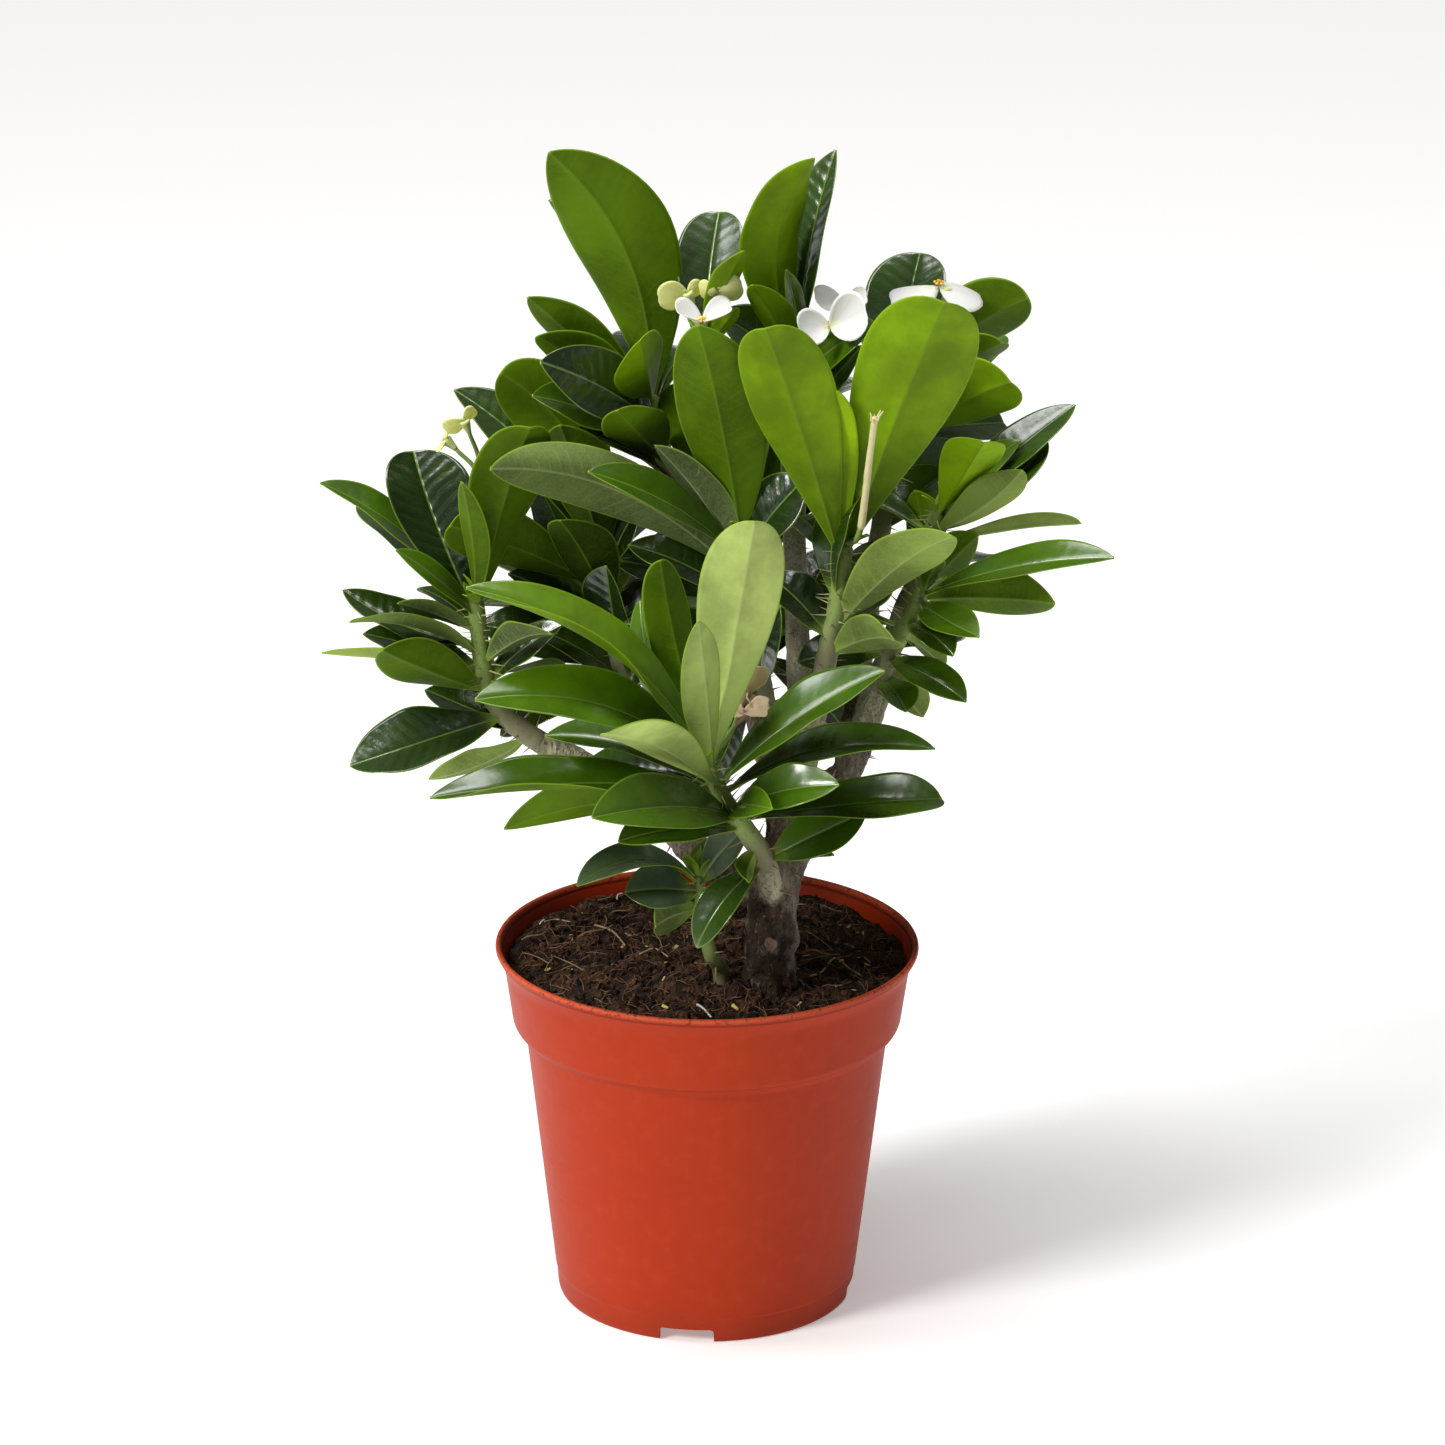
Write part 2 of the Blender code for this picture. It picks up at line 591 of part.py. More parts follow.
# Flowers: the head that bears each, its stalk as (pixel, pixel, mm back), the
# way it faces, the way its two bracts lie, their size in mm, and their cupping.
cream, white, straw = (0.85, 0.84, 0.42), (0.88, 0.87, 0.82), (0.5, 0.36, 0.2)
flowers = {
    "bloom_top_centre_left": (
        "top_centre", cream, [(704, 326, 14), (698, 314, 12), (693, 304, 11)],
        (-0.35, 0.5, 0.8), (0.9, 0.1, 0.35), 7.5, 0.2,
    ),
    "bloom_top_centre_right": (
        "top_centre", cream, [(704, 326, 14), (710, 312, 15), (711, 298, 15)],
        (0.1, 0.5, 0.85), (1, 0.2, -0.15), 7, 0.2,
    ),
    "bloom_top_centre_open": (
        "top_centre", white, [(704, 334, 12), (703, 326, 4)],
        (0.1, -0.15, 1), (1, 0.1, 0.1), 12, 0.5,
    ),
    "bloom_top_right_front": (
        "top_right", white, [(812, 334, 22), (824, 330, 14)],
        (-0.05, -0.75, 0.65), (1, 0.1, 0.12), 14, 0.3,
    ),
    "bloom_top_right_back": (
        "top_right", white, [(826, 334, 30), (838, 318, 32)],
        (0.1, -0.1, 1), (1, 0.25, 0.1), 13, 0.25,
    ),
    "bloom_back_right": (
        "back_right", white, [(912, 360, 50), (938, 316, 46), (944, 301, 46)],
        (0.02, 0.12, 1), (1, 0.15, -0.02), 19, -0.22,
    ),
    "bloom_left_outer": (
        "left", cream, [(484, 540, 12), (478, 476, 18), (456, 449, 20)],
        (-0.8, -0.1, 0.5), (0.5, 0.2, 0.8), 7.5, 0.3,
    ),
    "bloom_left_inner": (
        "left", cream, [(484, 540, 12), (480, 466, 16), (469, 432, 14)],
        (-0.45, -0.1, 0.9), (0.9, 0.1, 0.45), 7, 0.3,
    ),
    "withered_bloom": (
        "front_low", straw, [(722, 742, -60), (736, 724, -58)],
        (0.1, -0.45, 0.9), (0.9, -0.1, 0.2), 8, 0.5,
    ),
    "withered_leaf": (
        "front_low", straw, [(728, 738, -50), (742, 705, -46)],
        (0.7, -0.5, 0.4), (0.3, 0.3, 1), 8, 0.7,
    ),
}
# Straw-coloured stub of a cut flower stalk: its green root, then the dry part.
stubHead = "centre_right"
stubRoot = [(856, 540, -27), (861, 528, -30)]
stubPath = [(866, 490, -33), (870, 455, -35), (875, 418, -37)]
stalkRadius = 1.1 * mm
stubRadius = 1.5 * mm
cupHeight = 4.5 * mm
cupRadius, cupRise, cupFoot = 2.3 * mm, 0.9 * mm, 1.2 * mm
cupSides = 6


def clearScene():
    for obj in list(bpy.data.objects):
        bpy.data.objects.remove(obj, do_unlink=True)


def finish(name, colour, roughness):
    material = bpy.data.materials.new(name)
    material.use_nodes = True
    shader = material.node_tree.nodes["Principled BSDF"]
    shader.inputs["Base Color"].default_value = (*colour, 1)
    shader.inputs["Roughness"].default_value = roughness
    shader.inputs["Metallic"].default_value = 0
    return material


def solid(name, shape, material=None):
    mesh = bpy.data.meshes.new(name)
    mesh.from_pydata([tuple(v) for v in shape[0]], [], shape[1])
    work = bmesh.new()
    work.from_mesh(mesh)
    bmesh.ops.triangulate(work, faces=work.faces)
    bmesh.ops.recalc_face_normals(work, faces=work.faces)
    if work.calc_volume(signed=True) < 0:
        bmesh.ops.reverse_faces(work, faces=work.faces)
    work.to_mesh(mesh)
    work.free()
    if material:
        mesh.materials.append(material)
    obj = bpy.data.objects.new(name, mesh)
    bpy.context.scene.collection.objects.link(obj)
    return obj


def applyModifiers(obj):
    graph = bpy.context.evaluated_depsgraph_get()
    mesh = bpy.data.meshes.new_from_object(obj.evaluated_get(graph))
    obj.modifiers.clear()
    obj.data = mesh


def keepMainBody(obj):
    # A hollow that fusing sealed is filled, and a loose scrap is dropped.
    work = bmesh.new()
    work.from_mesh(obj.data)
    left = set(work.faces)
    islands = []
    while left:
        start = left.pop()
        island, edge = {start}, [start]
        while edge:
            for side in edge.pop().edges:
                for face in side.link_faces:
                    if face in left:
                        left.discard(face)
                        island.add(face)
                        edge.append(face)
        islands.append(island)
    main = max(islands, key=len)
    for island in islands:
        if island is not main:
            bmesh.ops.delete(work, geom=list(island), context="FACES")
    work.to_mesh(obj.data)
    work.free()


def fuse(name, shapes, material):
    base = solid(name, shapes[0], material)
    if len(shapes) > 1:
        extras = bpy.data.collections.new(name + "_repeats")
        bpy.context.scene.collection.children.link(extras)
        for i, shape in enumerate(shapes[1:]):
            piece = solid(f"{name}_repeat_{i}", shape)
            bpy.context.scene.collection.objects.unlink(piece)
            extras.objects.link(piece)
        join = base.modifiers.new("Join", "BOOLEAN")
        join.operation = "UNION"
        join.operand_type = "COLLECTION"
        join.collection = extras
        join.solver = "EXACT"
        applyModifiers(base)
        for piece in list(extras.objects):
            bpy.data.objects.remove(piece, do_unlink=True)
        bpy.data.collections.remove(extras)
        keepMainBody(base)
    base.data.materials.clear()
    base.data.materials.append(material)
    base.data.shade_flat()
    return base


def growPlant():
    rng = random.Random(seed)
    placed = []
    wood = []

    def points(row):
        return [seen(*point) for point in row]

    # Woody part: the bole stands in the soil, and the boughs fork from it.
    foot = grounded(*trunkFoot, soilEdge)
    woodPaths = []
    for name, (girths, row) in mainWood.items():
        path = points(row)
        if name == "bole":
            low = Vector((foot.x, foot.y, buriedTo))
            path = [low, Vector((foot.x, foot.y, soilEdge + 9 * mm)), *smoothPath(path, 2)]
        else:
            path = smoothPath(path, 2)
        woodPaths.append((path, [girth * mm for girth in girths], None))
    heads = {}
    for name, (woodRow, stemRow) in limbs.items():
        whole = smoothPath(points(woodRow[:-1] + stemRow), limbSteps)
        split = limbSteps * (len(woodRow) - 1)
        along = (whole[split + 1] - whole[split - 1]).normalized()
        woodPaths.append((whole[: split + 1], (woodGirth, stemGirth[0]), along))
        stem = [whole[split] + along * gap, *whole[split + 1 :]]
        heads[name] = (stem, stemGirth, along)
    for path, girths, along in woodPaths:
        wood.append(tube(path, girths, woodSides, ending=along))
    for shape in wood:
        placed.append(Placed("trunk", shape))
    for name, (stem, girths, along) in heads.items():
        wide = [girth + 0.2 * mm for girth in girths]
        placed.append(Placed(name, tube(stem, wide, stemSides, starting=along)))

    # The sucker comes up through the soil by itself.
    root = grounded(*suckerFoot, soilEdge)
    low = Vector((root.x, root.y, suckerBuriedTo))
    shoot = [low, Vector((root.x, root.y, soilEdge + 6 * mm)), *smoothPath(points(suckerPath), 2)]
    heads["sucker"] = (shoot, (suckerRadius, 2.4 * mm), None)
    placed.append(Placed("sucker", tube(shoot, heads["sucker"][1], stemSides)))
    # Stalks and flowers, which leaves then keep clear of.
    stalks = {name: [] for name in heads}
    petals = {}

    def addStalk(head, row, radius):
        stem = heads[head][0]
        up = (stem[-1] - stem[-2]).normalized()
        path = smoothPath([stem[-1] - up * 2 * mm, stem[-1] + up * 2 * mm, *points(row)], 2)
        shape = tube(path, (radius, radius), stalkSides)
        stalks[head].append(shape)
        placed.append(Placed(head, shape))
        return path[-1], (path[-1] - path[-2]).normalized()

    for name, (head, colour, row, facing, across, size, cupping) in flowers.items():
        end, up = addStalk(head, row, stalkRadius)
        facing = Vector(facing).normalized()
        petals[name] = (
            cyathium(end + up * gap, up, Vector(across), facing, size * mm, cupping), colour
        )
    end, up = addStalk(stubHead, stubRoot, stubRadius)
    path = smoothPath([end + up * gap, *points(stubPath)], 2)
    petals["dry_stalk_stub"] = ([tube(path, (stubRadius, stubRadius * 0.9), stalkSides)], straw)
    for name, (shapes, colour) in petals.items():
        for shape in shapes:
            placed.append(Placed(name, shape))

    # Leaves as seen, then those out of sight behind.
    blades = {name: [] for name in heads}
    for name, rows in [*leaves.items(), ("sucker", suckerLeaves)]:
        stem = heads[name][0]
        for i, row in enumerate(rows):
            leaf = settle(name, lambda bend: bentLeaf(stem, row, bend), placed)
            if leaf:
                blades[name].append(leaf)
            else:
                print("no clear place:", name, i)
    for name, count in rearLeaves.items():
        stem = heads[name][0]
        for k in range(count):
            swing = 2 * ((0.3 + 0.618034 * k) % 1) - 1
            spread = rearmostSpread if name in rearmost else rearSpread
            draws = (
                math.radians(90 + spread * swing),
                math.radians(rng.uniform(*rearRise)),
                rng.uniform(*rearShare),
                rng.uniform(*rearLength) * mm,
                rng.uniform(*rearWidth),
                ("spoon", "oval")[k % 2],
            )
            leaf = settle(name, lambda bend: rearLeaf(stem, draws, bend), placed)
            if leaf:
                blades[name].append(leaf)

    # Spines stand on every stem, even on all sides.
    spines = {"trunk": []}
    for path, girths, along in woodPaths:
        bare = path[2:] if path is woodPaths[0][0] else path
        spines["trunk"] += spinesAlong("trunk", bare, girths, woodSpineSpacing, placed, rng)
    for name, (stem, girths, along) in heads.items():
        bare = stem[2:] if name == "sucker" else stem
        spines[name] = spinesAlong(name, bare, girths, stemSpineSpacing, placed, rng)
    return wood, heads, stalks, blades, spines, petals, foot, root


def buildPlant():
    wood, heads, stalks, blades, spines, petals, foot, root = growPlant()
    bark = finish("woody_bark", (0.22, 0.15, 0.09), 0.85)
    fuse("trunk", wood + spines["trunk"], bark)
    green = finish("leathery_leaf", (0.07, 0.19, 0.02), 0.4)
    for name, (stem, girths, along) in heads.items():
        shapes = [tube(stem, girths, stemSides, starting=along), *stalks[name], *spines[name]]
        shapes += [leaf.mesh() for leaf in blades[name]]
        fuse("sucker" if name == "sucker" else "leafy_stem_" + name, shapes, green)
    for name, (shapes, colour) in petals.items():
        fuse(name, shapes, finish(name, colour, 0.6))
    return foot, root


def turned(name, profile, sides, material):
    # The profile, as (radius, height), runs round the section's outline.
    mesh = bpy.data.meshes.new(name)
    work = bmesh.new()
    rings = []
    for radius, height in profile:
        if radius == 0:
            rings.append([work.verts.new((0, 0, height))])
            continue
        turns = [2 * math.pi * k / sides for k in range(sides)]
        rings.append(
            [work.verts.new((radius * math.cos(t), radius * math.sin(t), height)) for t in turns]
        )
    for low, high in zip(rings, rings[1:] + rings[:1]):
        if len(low) == len(high) == 1:
            continue
        for k in range(sides):
            m = (k + 1) % sides
            ring = [low[k % len(low)], low[m % len(low)], high[m % len(high)], high[k % len(high)]]
            work.faces.new(list(dict.fromkeys(ring)))
    bmesh.ops.recalc_face_normals(work, faces=work.faces)
    work.to_mesh(mesh)
    work.free()
    mesh.materials.append(material)
    obj = bpy.data.objects.new(name, mesh)
    bpy.context.scene.collection.objects.link(obj)
    return obj


def cut(obj, cutters):
    group = bpy.data.collections.new(obj.name + "_cutters")
    bpy.context.scene.collection.children.link(group)
    for cutter in cutters:
        bpy.context.scene.collection.objects.unlink(cutter)
        group.objects.link(cutter)
        cutter.hide_render = True
        cutter.display_type = "WIRE"
    boolean = obj.modifiers.new("Cut", "BOOLEAN")
    boolean.operation = "DIFFERENCE"
    boolean.operand_type = "COLLECTION"
    boolean.collection = group
    boolean.solver = "EXACT"


def innerRadius(height):
    # The pot's inside, above the step behind the shoulder and below it.
    if height > innerStep:
        share = (height - bandFoot) / (potHeight - lipBand - bandFoot)
        return bandFootRadius - wall + (bandTopRadius - bandFootRadius) * share
    share = (height - floorHeight) / (innerStep - floorHeight)
    foot = baseRadius - wall + 0.5 * mm
    return foot + (shoulderRadius - wall - foot) * share


def buildPot():
    plastic = finish("terracotta_plastic", (0.5, 0.075, 0.03), 0.5)
    lipFoot = potHeight - lipBand
    profile = [
        (0, floorHeight),
        (baseRadius - footWidth, floorHeight),
        (baseRadius - footWidth, 0),
        (baseRadius - 0.9 * mm, 0),
        (baseRadius, 1.2 * mm),
        (baseRadius + 0.7 * mm, stepHeight),
        (baseRadius + 1.1 * mm, stepHeight + 0.8 * mm),
        (shoulderRadius, bandFoot - 3 * mm),
        (bandFootRadius - 1.6 * mm, bandFoot - 0.8 * mm),
        (bandFootRadius, bandFoot + 1 * mm),
        (bandTopRadius, lipFoot),
        (rimRadius - 0.5 * mm, potHeight - 2.4 * mm),
        (rimRadius, potHeight - 1.2 * mm),
        (rimRadius - 1.2 * mm, potHeight),
        (innerRadius(lipFoot), lipFoot),
        (innerRadius(innerStep + innerStepRise), innerStep + innerStepRise),
        (innerRadius(innerStep), innerStep),
        (innerRadius(floorHeight + wall + 2 * mm), floorHeight + wall + 2 * mm),
        (innerRadius(floorHeight + wall) - 1.5 * mm, floorHeight + wall),
        (0, floorHeight + wall),
    ]
    pot = turned("pot", profile, potSides, plastic)
    cutters = []
    for k in range(notchCount):
        turn = notchTurn + 2 * math.pi * k / notchCount
        size = (4 * footWidth, notchWidth, 2 * notchHeight)
        box = solid(f"foot_notch_{k}", boxShape(size))
        box.matrix_world = Matrix.Rotation(turn, 4, "Z") @ Matrix.Translation(
            (baseRadius - footWidth / 2, 0, 0)
        )
        cutters.append(box)
    for k in range(drainCount):
        turn = notchTurn + 2 * math.pi * (k + 0.5) / drainCount
        centre = Vector((math.cos(turn), math.sin(turn), 0)) * drainRing
        ends = [centre + Vector((0, 0, z)) for z in (floorHeight - 4 * mm, floorHeight + 9 * mm)]
        cutters.append(solid(f"drain_hole_{k}", tube(ends, (drainRadius, drainRadius), 10)))
    cut(pot, cutters)
    pot.data.shade_smooth()
    pot.data.set_sharp_from_angle(angle=math.radians(32))


def boxShape(size):
    corners = [
        Vector((x * size[0] / 2, y * size[1] / 2, z * size[2] / 2))
        for x in (-1, 1) for y in (-1, 1) for z in (-1, 1)
    ]
    return corners, [
        (0, 1, 3, 2), (4, 6, 7, 5), (0, 4, 5, 1), (2, 3, 7, 6), (0, 2, 6, 4), (1, 5, 7, 3)
    ]


def buildSoil(foot, root):
    peat = finish("dark_peat", (0.03, 0.015, 0.008), 0.95)
    rng = random.Random(seed + 1)
    bottom = floorHeight + wall + gap
    corner = math.cos(math.pi / soilSides)
    verts, faces = [], []

    def ring(radius, height, lumps):
        for k in range(soilSides):
            turn = 2 * math.pi * k / soilSides
            lift = rng.uniform(-1, 1) * lumps
            verts.append(
                Vector((radius * math.cos(turn), radius * math.sin(turn), height + lift))
            )

    def clearOf(height):
        return innerRadius(height) * corner - 0.6 * mm

    ring(clearOf(floorHeight + wall) - 4 * mm, bottom + 0.3 * mm, 0)
    ring(clearOf(floorHeight + wall + 4 * mm) - 0.3 * mm, bottom + 4 * mm, 0)
    ring(clearOf(innerStep), innerStep + 0.5 * mm, 0)
    ring(clearOf(innerStep + innerStepRise), innerStep + innerStepRise + 1 * mm, 0)
    ring(clearOf(soilEdge - 4 * mm), soilEdge - 1.5 * mm, 0)
    for k in range(soilRings):
        share = 0.97 * (1 - k / soilRings)
        radius = clearOf(soilEdge - 4 * mm) * share
        ring(radius, soilEdge + soilMound * math.cos(share * math.pi / 2), soilLumps)
    for i in range(4 + soilRings):
        for k in range(soilSides):
            a, b = i * soilSides + k, i * soilSides + (k + 1) % soilSides
            faces.append((a, b, b + soilSides, a + soilSides))
    top = (4 + soilRings) * soilSides
    faces.append(tuple(range(top, top + soilSides)))
    faces.append(tuple(reversed(range(soilSides))))
    soil = solid("soil", (verts, faces), peat)
    holes = []
    for name, point, radius, low in (
        ("trunk_hole", foot, trunkRadius, buriedTo),
        ("sucker_hole", root, suckerRadius, suckerBuriedTo),
    ):
        ends = [Vector((point.x, point.y, z)) for z in (low - gap, soilEdge + 30 * mm)]
        wide = radius / math.cos(math.pi / 16) + gap + 0.3 * mm
        holes.append(solid(name, tube(ends, (wide, wide), 16)))
    cut(soil, holes)
    soil.data.shade_flat()


def main():
    clearScene()
    foot, root = buildPlant()
    buildPot()
    buildSoil(foot, root)


if __name__ == "__main__":
    main()
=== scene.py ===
# A potted crown of thorns: leathery leaves, spiny stems, a few pale blooms and a
# turned plastic pot of peat. Metres, +Z up, on the pot's axis.
import math
import random

import bpy
from mathutils import Matrix, Vector, noise
from mathutils.bvhtree import BVHTree
from mathutils.kdtree import KDTree


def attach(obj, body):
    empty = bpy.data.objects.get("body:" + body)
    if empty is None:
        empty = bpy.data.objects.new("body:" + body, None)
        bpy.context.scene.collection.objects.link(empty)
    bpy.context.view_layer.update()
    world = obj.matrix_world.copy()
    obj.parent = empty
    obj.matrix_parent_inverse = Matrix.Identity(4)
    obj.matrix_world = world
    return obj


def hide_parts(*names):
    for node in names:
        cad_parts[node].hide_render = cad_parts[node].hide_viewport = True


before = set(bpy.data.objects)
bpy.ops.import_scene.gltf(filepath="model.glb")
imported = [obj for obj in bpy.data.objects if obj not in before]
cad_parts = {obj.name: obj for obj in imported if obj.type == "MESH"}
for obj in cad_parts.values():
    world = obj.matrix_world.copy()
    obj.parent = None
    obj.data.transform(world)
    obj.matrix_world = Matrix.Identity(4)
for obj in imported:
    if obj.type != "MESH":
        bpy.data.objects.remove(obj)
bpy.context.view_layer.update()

mm = 0.001
gap = 0.35 * mm
roughScale = 260
goldenTurn = 2.4
# Rings that round off a stem's end: their swell, and how far they stand out.
roundedEnd = ((0.8, 0.3), (0.35, 0.55))
scene = bpy.context.scene
# Without a seed the vector noise would differ from run to run.
noise.seed_set(5)

view = dict(
    eye=Vector((5.7, -2329, 1062)) * mm,
    down=math.radians(19.4),
    roll=math.radians(0.3),
    focal=6235,
    middle=722.5,
    pixels=1445,
)


# The numbers of a node tree, written as sums.
class Wire:
    def __init__(self, nodes, socket):
        self.nodes, self.socket = nodes, socket

    def __add__(self, other):
        return self.nodes.maths("ADD", self, other)

    def __sub__(self, other):
        return self.nodes.maths("SUBTRACT", self, other)

    def __mul__(self, other):
        return self.nodes.maths("MULTIPLY", self, other)

    def __truediv__(self, other):
        return self.nodes.maths("DIVIDE", self, other)

    def __pow__(self, other):
        return self.nodes.maths("POWER", self, other)

    def __mod__(self, other):
        return self.nodes.maths("FLOORED_MODULO", self, other)

    def __rsub__(self, other):
        return self.nodes.maths("SUBTRACT", other, self)

    def __rtruediv__(self, other):
        return self.nodes.maths("DIVIDE", other, self)

    def __neg__(self):
        return self.nodes.maths("MULTIPLY", self, -1)

    def __abs__(self):
        return self.nodes.maths("ABSOLUTE", self)

    __radd__ = __add__
    __rmul__ = __mul__


class Step:
    def __init__(self, nodes, node):
        self.nodes, self.node = nodes, node

    def __getitem__(self, key):
        return Wire(self.nodes, self.node.outputs[key])


class Nodes:
    def __init__(self, tree):
        self.tree = tree
        tree.nodes.clear()

    def add(self, kind, settings=None, inputs=None):
        node = self.tree.nodes.new(kind)
        for key, value in (settings or {}).items():
            setattr(node, key, value)
        for key, value in (inputs or {}).items():
            socket = node.inputs[key]
            if isinstance(value, Wire):
                self.tree.links.new(value.socket, socket)
            elif socket.type == "RGBA" and len(value) == 3:
                socket.default_value = (*value, 1)
            else:
                socket.default_value = value
        return Step(self, node)

    def maths(self, kind, *values):
        return self.add("ShaderNodeMath", {"operation": kind}, dict(enumerate(values)))[0]

    def vector(self, kind, *values):
        return self.add("ShaderNodeVectorMath", {"operation": kind}, dict(enumerate(values)))[0]

    def scaled(self, vector, factor):
        return self.add("ShaderNodeVectorMath", {"operation": "SCALE"}, {0: vector, 3: factor})[0]

    def mapped(self, value, low, high, start=0, end=1):
        ends = {"Value": value, "From Min": low, "From Max": high, "To Min": start, "To Max": end}
        return self.add("ShaderNodeMapRange", {"interpolation_type": "SMOOTHSTEP"}, ends)["Result"]

    def mixed(self, share, a, b, kind="MIX"):
        settings = {"data_type": "RGBA", "blend_type": kind}
        return self.add("ShaderNodeMix", settings, {0: share, 6: a, 7: b})[2]

    def noise(self, where, scale, detail=3, roughness=0.55, stretch=None):
        if stretch:
            where = self.vector("MULTIPLY", where, stretch)
        inputs = {"Vector": where, "Scale": scale, "Detail": detail, "Roughness": roughness}
        return self.add("ShaderNodeTexNoise", None, inputs)[0]

    def attribute(self, name):
        return self.add("ShaderNodeAttribute", {"attribute_name": name})["Vector"]

    def parts(self, vector):
        step = self.add("ShaderNodeSeparateXYZ", None, {0: vector})
        return step[0], step[1], step[2]

    def objectPlace(self):
        return self.add("ShaderNodeTexCoord")["Object"]

    def bump(self, height, distance, strength=1, after=None):
        inputs = {"Height": height, "Distance": distance, "Strength": strength}
        if after:
            inputs["Normal"] = after
        return self.add("ShaderNodeBump", None, inputs)[0]


def linked(name, data):
    made = bpy.data.objects.new(name, data)
    scene.collection.objects.link(made)
    return made


# The mesh that an object's modifiers give.
def applied(obj):
    graph = bpy.context.evaluated_depsgraph_get()
    return bpy.data.meshes.new_from_object(obj.evaluated_get(graph))


def newShade(name):
    material = bpy.data.materials.new(name)
    material.use_nodes = True
    return material, Nodes(material.node_tree)


def surface(shade, colour, roughness, normal=None, **constants):
    inputs = {"Base Color": colour, "Roughness": roughness}
    inputs.update({key.replace("_", " "): value for key, value in constants.items()})
    if normal:
        inputs["Normal"] = normal
    bsdf = shade.add("ShaderNodeBsdfPrincipled", None, inputs)["BSDF"]
    shade.add("ShaderNodeOutputMaterial", None, {"Surface": bsdf})


def viewAxes():
    right = Vector((1, 0, 0))
    ahead = Vector((0, math.cos(view["down"]), -math.sin(view["down"])))
    turn = Matrix.Rotation(-view["roll"], 3, ahead)
    return turn @ right, turn @ right.cross(ahead), ahead


def seenRay(px, py):
    right, up, ahead = viewAxes()
    return ahead * view["focal"] + right * (px - view["middle"]) - up * (py - view["middle"])


def seen(px, py, back):
    ray = seenRay(px, py)
    return view["eye"] + ray * ((back * mm - view["eye"].y) / ray.y)


def grounded(px, py, height):
    ray = seenRay(px, py)
    return view["eye"] + ray * ((height - view["eye"].z) / ray.z)


def placeCamera():
    right, up, ahead = viewAxes()
    lens = bpy.data.cameras.new("camera")
    lens.sensor_width = 36
    lens.lens = view["focal"] / view["pixels"] * 36
    lens.clip_end = 100
    camera = linked("camera", lens)
    turned = Matrix((right, up, -ahead)).transposed().to_4x4()
    camera.matrix_world = Matrix.Translation(view["eye"]) @ turned
    scene.camera = camera


studio = dict(
    floorSize=30,
    floorGlow=0.3,
    skyLight=0.14,
    keyLight=2.3,
    keyAim=(0.7, 0.5, -0.62),
    keyAngle=math.radians(18),
    boxSize=(0.45, 2.1),
    boxPower=27,
    boxPlace=(-0.32, -0.05, 1.8),
    boxTarget=(0, 0, 0.3),
)


def lightStudio():
    world = bpy.data.worlds.new("studio")
    scene.world = world
    world.use_nodes = True
    sky = Nodes(world.node_tree)
    glow = sky.add(
        "ShaderNodeBackground", None, {"Color": (1, 1, 1), "Strength": studio["skyLight"]}
    )[0]
    sky.add("ShaderNodeOutputWorld", None, {"Surface": glow})

    lamp = bpy.data.lights.new("key", "SUN")
    lamp.energy = studio["keyLight"]
    lamp.angle = studio["keyAngle"]
    lamp.color = (1, 0.985, 0.96)
    key = linked("key", lamp)
    key.rotation_euler = Vector(studio["keyAim"]).to_track_quat("-Z", "Y").to_euler()

    lamp = bpy.data.lights.new("softbox", "AREA")
    lamp.shape = "RECTANGLE"
    lamp.size, lamp.size_y = studio["boxSize"]
    lamp.energy = studio["boxPower"]
    box = linked("softbox", lamp)
    box.location = studio["boxPlace"]
    aim = Vector(studio["boxTarget"]) - Vector(studio["boxPlace"])
    box.rotation_euler = aim.to_track_quat("-Z", "Y").to_euler()

    half = studio["floorSize"] / 2
    mesh = bpy.data.meshes.new("floor")
    corners = [(-half, -half, 0), (half, -half, 0), (half, half, 0), (-half, half, 0)]
    mesh.from_pydata(corners, [], [(0, 1, 2, 3)])
    floor = linked("floor", mesh)
    material, shade = newShade("floor_paper")
    grain = shade.noise(shade.objectPlace(), 900, 2)
    colour = shade.mixed(grain, (0.9, 0.9, 0.9), (0.93, 0.93, 0.93))
    surface(shade, colour, 0.9, Specular_IOR_Level=0.1, Emission_Color=(1, 1, 1, 1),
            Emission_Strength=studio["floorGlow"])
    mesh.materials.append(material)
    scene.view_settings.view_transform = "Standard"


# Points of limbs and tips are a pixel of the picture and mm behind the pot's axis.
wood = dict(
    sides=6,
    stemSides=6,
    stalkSides=4,
    steps=2,
    fineSteps=8,
    stalkSteps=7,
    girth=5.2 * mm,
    stemGirth=(4.6 * mm, 3.3 * mm),
    buriedTo=96 * mm,
    upright=9 * mm,
    suckerBuriedTo=118 * mm,
    suckerUpright=6 * mm,
    suckerGirth=(3.4 * mm, 2.4 * mm),
    stalk=1.1 * mm,
    stalkSunk=2 * mm,
    stub=1.5 * mm,
    trunkFoot=(769, 990),
    suckerFoot=(721, 988),
    suckerPath=[(711, 955, -44), (703, 922, -42), (699, 878, -40)],
)
mainWood = {
    "bole": ((11, 8.2), [(769, 935, -41), (774, 895, -37), (784, 855, -31), (792, 812, -26)]),
    "left_bough": ((7.5, 6.3), [(774, 902, -38), (738, 880, -30), (700, 853, -22), (670, 823, -13)]),
    "right_bough": ((6.8, 5.4), [(788, 832, -28), (815, 797, -16), (848, 768, -6), (868, 712, 0)]),
    "upper_bough": ((6.8, 5.2), [(789, 830, -24), (768, 745, 2), (738, 650, 14), (718, 568, 18)]),
}
